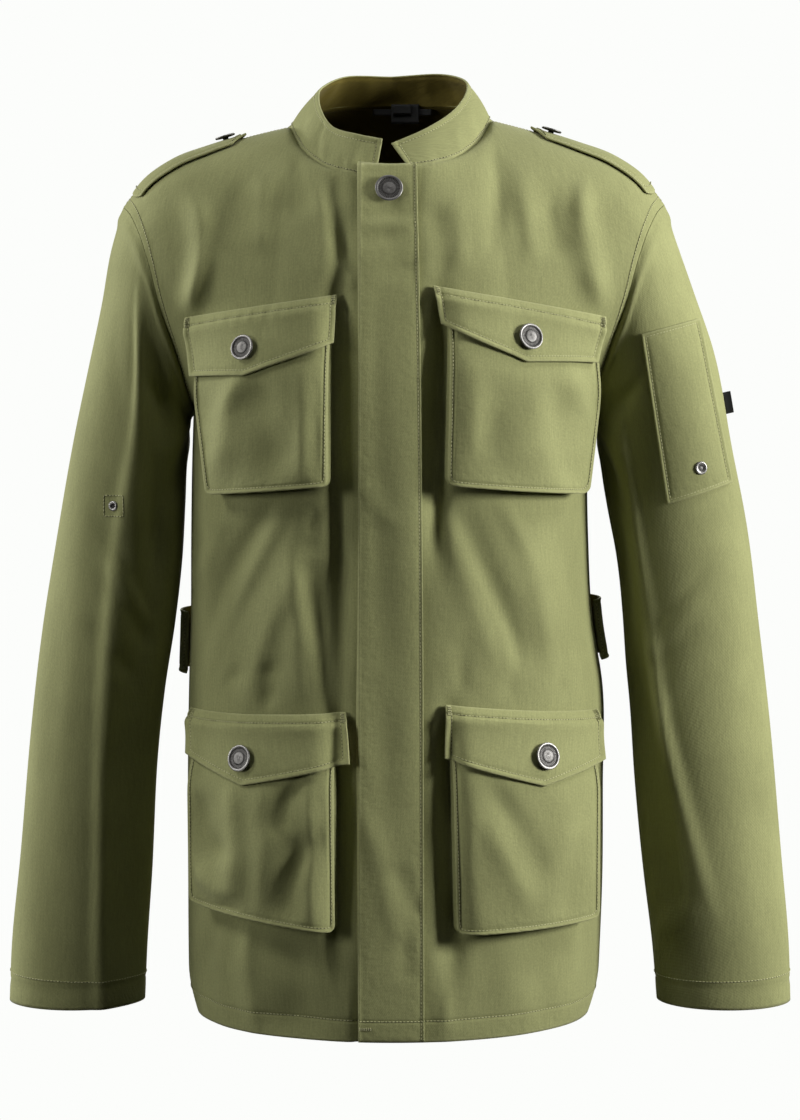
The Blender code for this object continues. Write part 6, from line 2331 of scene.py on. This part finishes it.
@dataclass
class ShankButton:
    """A cast shank button: plain domed middle, ribbed hollow ring and rolled rim."""

    name: str
    radius: float

    def rows(self) -> tuple[TurnRow, ...]:
        """The button's rings, from the crown's middle over the rim to the shank."""
        shape = ((0.00, 3.98, 0.35), (0.10, 3.97, 0.35), (0.22, 3.93, 0.35), (0.33, 3.85, 0.35),
                 (0.41, 3.74, 0.4), (0.455, 3.62, 0.6), (0.475, 3.48, 0.94), (0.50, 3.40, 0.90),
                 (0.54, 3.36, 0.80), (0.60, 3.35, 0.72), (0.66, 3.36, 0.72), (0.72, 3.40, 0.80),
                 (0.76, 3.48, 0.90), (0.785, 3.60, 0.94), (0.81, 3.80, 0.6), (0.845, 4.00, 0.25),
                 (0.885, 4.12, 0.1), (0.92, 4.16, 0.1), (0.955, 4.08, 0.1), (0.985, 3.86, 0.2),
                 (1.00, 3.50, 0.4), (0.992, 3.14, 0.6), (0.965, 2.82, 0.9), (0.92, 2.60, 1.0),
                 (0.80, 2.46, 1.0), (0.50, 2.30, 1.0), (0.34, 2.20, 1.0), (0.29, 2.06, 1.0),
                 (0.28, 1.40, 1.0), (0.28, 0.70, 1.0), (0.0, 0.70, 1.0))
        return tuple(TurnRow(share * self.radius, mm / 1000, hollow) for share, mm, hollow in shape)

    def make(self, shop: Workshop, at: Array, facing: Array) -> bpy.types.Object:
        """Build the button on its cloth."""
        return Turned(self.name, self.rows(), 144, 36).make(shop, at, facing)


# ---------------------------------------------------------------- studio
@dataclass(frozen=True)
class Lamp:
    """An area lamp: its place, size and power."""

    name: str
    azimuth: float
    distance: float
    height: float
    size: float
    watts: float


@dataclass
class Studio:
    """White backdrop, pale floor, camera and lamps."""

    camera_at: tuple[float, float, float] = (0.0067, -2.4, -0.149)
    tilt: float = math.atan(260 / 2863)
    lens: float = 92.03
    floor_z: float = -1.30
    floor_radius: float = 1.30
    ambient: float = 0.005
    backdrop: str = "fcfdfb"
    lamps: tuple[Lamp, ...] = (
        Lamp("key", 72.0, 2.6, 0.25, 0.7, 82.0),
        Lamp("high_left", 100.0, 2.2, 1.50, 0.7, 36.0),
        Lamp("side_right", -110.0, 2.6, 0.10, 0.7, 42.0),
        Lamp("high_right", -80.0, 2.2, 1.50, 0.7, 26.0),
        Lamp("fill", -60.0, 2.6, 0.10, 0.7, 17.0),
        Lamp("overhead", 0.0, 0.6, 2.20, 1.0, 10.0),
        Lamp("rear", 180.0, 2.6, 0.80, 1.2, 36.0))

    def make(self) -> None:
        """Build everything but the jacket."""
        scene = bpy.context.scene
        scene.view_settings.view_transform = "Standard"
        data = bpy.data.cameras.new("camera")
        data.lens, data.sensor_width = self.lens, 36.0
        camera = bpy.data.objects.new("camera", data)
        camera.location = self.camera_at
        camera.rotation_euler = (math.pi / 2 - self.tilt, 0.0, 0.0)
        scene.collection.objects.link(camera)
        scene.camera = camera
        for lamp in self.lamps:
            self.hang(lamp)
        world = bpy.data.worlds.new("studio")
        world.use_nodes = True
        tree = world.node_tree
        seen = add_node(tree, "LightPath").outputs["Is Camera Ray"]
        power = add_node(tree, "MapRange", {0: seen, 1: 0.0, 2: 1.0, 3: self.ambient, 4: 1.0})
        fill(tree.nodes["Background"], {"Color": linear(self.backdrop), "Strength": power})
        scene.world = world
        turn = np.arange(96) / 96 * 2 * math.pi
        ring = np.stack([np.cos(turn), np.sin(turn), 0 * turn], axis=-1) * self.floor_radius
        points = np.concatenate([ring + [0, 0, self.floor_z], ring + [0, 0, self.floor_z - 0.02]])
        loop = np.arange(96)
        sides = np.stack([loop, loop + 96, np.roll(loop, -1) + 96, np.roll(loop, -1)], axis=-1)
        mesh = bpy.data.meshes.new("floor")
        mesh.from_pydata(points.tolist(), [], [loop.tolist(), (loop[::-1] + 96).tolist()] + sides.tolist())
        mesh.materials.append(PaintFinish().make())
        floor = bpy.data.objects.new("floor", mesh)
        scene.collection.objects.link(floor)
        # the floor is kept out of diffuse light, so it throws no light up at the cloth
        floor.visible_diffuse = False

    def hang(self, lamp: Lamp) -> None:
        """Hang a lamp at its azimuth, measured from the camera's side, facing the jacket."""
        data = bpy.data.lights.new(lamp.name, "AREA")
        data.energy, data.size = lamp.watts, lamp.size
        made = bpy.data.objects.new(lamp.name, data)
        angle = math.radians(lamp.azimuth)
        at = Vector((lamp.distance * math.sin(angle), -lamp.distance * math.cos(angle), lamp.height))
        made.location = at
        made.rotation_euler = (at - Vector((0.0, 0.0, -0.35))).to_track_quat("Z", "Y").to_euler()
        bpy.context.scene.collection.objects.link(made)


# ---------------------------------------------------------------- the whole jacket
FLAPS = (
    PocketFlap("chest_flap_right", Side.RIGHT, (-0.0423, -0.1447), (-0.1668, -0.1623),
               (-0.0431, -0.1843), (-0.1510, -0.2084), (-0.1087, -0.2094), (-0.1109, -0.1879, 0.0103)),
    PocketFlap("chest_flap_left", Side.LEFT, (0.0327, -0.1377), (0.1732, -0.1614),
               (0.0374, -0.1697), (0.1571, -0.1969), (0.0997, -0.1988), (0.1039, -0.1796, 0.0106)),
    PocketFlap("lower_flap_right", Side.RIGHT, (-0.0358, -0.4776), (-0.1640, -0.4850),
               (-0.0321, -0.5184), (-0.1578, -0.5212), (-0.1111, -0.5391), (-0.1135, -0.5177, 0.0108)),
    PocketFlap("lower_flap_left", Side.LEFT, (0.0424, -0.4711), (0.1670, -0.4850),
               (0.0409, -0.5147), (0.1630, -0.5254), (0.1140, -0.5392), (0.1167, -0.5156, 0.0110)))
POCKETS = (
    BellowsPocket("chest_pocket_right", Side.RIGHT, (-0.0467, -0.1598), (-0.1541, -0.1750),
                  (-0.0479, -0.2965), (-0.1399, -0.3066), 0.006, FLAPS[0],
                  in_mm(Crease,
                        (-149, -221, -137, -236, 4.5, -3.4), (-147, -240, -136, -252, 4, -3.1),
                        (-144, -258, -134, -272, 4, -2.4), (-113, -210, -130, -284, 8, 4.1, 2),
                        (-96, -214, -86, -288, 13, -4.4, 2), (-66, -204, -65, -298, 6, 3.1),
                        (-57, -212, -57.5, -288, 4, -2.7), (-118, -292, -124, -306, 5, -2))),
    BellowsPocket("chest_pocket_left", Side.LEFT, (0.0445, -0.1542), (0.1640, -0.1749),
                  (0.0415, -0.2957), (0.1489, -0.3071), 0.008, FLAPS[1],
                  in_mm(Crease,
                        (61, -204, 60, -272, 5.5, 2.2), (80, -210, 80, -290, 12, -2.6, 3),
                        (104, -212, 110, -286, 11, 1.9, -2), (133, -204, 154, -252, 8, 2.9, 2),
                        (124, -226, 136, -296, 10, -2.9, 3))),
    BellowsPocket("lower_pocket_right", Side.RIGHT, (-0.0439, -0.4926), (-0.1560, -0.4998),
                  (-0.0428, -0.6558), (-0.1550, -0.6430), 0.006, FLAPS[2],
                  in_mm(Crease,
                        (-71, -532, -83, -572, 7, -7.2, 1, 0.3), (-58, -574, -78, -640, 8, -7.7, 4, 0.3),
                        (-62, -540, -61, -645, 4.5, 4.9), (-96, -545, -98, -640, 11, 4, -3),
                        (-119, -545, -118, -634, 7, 5.4), (-154, -556, -130, -600, 12, -6.7, 2),
                        (-158, -602, -122, -634, 6, 5.8, 2), (-120, -632, -124, -650, 5, -4))),
    BellowsPocket("lower_pocket_left", Side.LEFT, (0.0454, -0.4861), (0.1590, -0.4990),
                  (0.0494, -0.6568), (0.1590, -0.6560), 0.006, FLAPS[3],
                  in_mm(Crease,
                        (60, -540, 60, -645, 7, 2, 1), (74, -532, 114, -616, 8, -3.2, -3, 0.3),
                        (68, -562, 102, -636, 7.5, 2.4, -2), (126, -545, 138, -610, 10, 1.6, 2),
                        (140, -590, 132, -650, 10, -2.2, -2))))


def main() -> None:
    """Load the frame, sew the jacket over it, set up the studio and finish."""
    logging.basicConfig(level=logging.INFO, format="%(name)s: %(message)s")
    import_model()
    twill = TwillFinish()
    # the inner faces get a darker, browner copy of the twill: painted shade for the inside of the jacket
    inner = TwillFinish("olive_twill_inside", "6b5f1e", "554a17", "7a6f2c")
    shop = Workshop(twill.make(), ThreadFinish().make(), MetalFinish().make(), TapeFinish().make(),
                    inner.make(), JacketForm())
    fly = Fly()
    pieces = [FrontPanel(Side.RIGHT), FrontPanel(Side.LEFT), BackPanel(), SleevePanel(Side.RIGHT),
              SleevePanel(Side.LEFT), Collar(), fly,
              ShoulderStrap(Side.RIGHT, 0.2150, 0.1190, 0.1370),
              ShoulderStrap(Side.LEFT, 0.2180, 0.1130, 0.1310),
              WaistTab(Side.RIGHT, -0.4093, -0.4622, 0.0085),
              WaistTab(Side.LEFT, -0.3992, -0.4504, 0.0080), *POCKETS, *FLAPS, SleevePocket(),
              SleeveStud(), Trims()]
    for piece in pieces:
        piece.make(shop)
        LOG.info("made %s", type(piece).__name__)
    for flap in FLAPS:
        flap.make_button(shop, "button_" + flap.name.replace("_flap_", "_"))
    ShankButton("button_neck", 0.0112).make(shop, *fly.spot(shop.form, -0.0023, -0.0622))
    shop.declare_all()
    Studio().make()


if __name__ == "__main__":
    main()
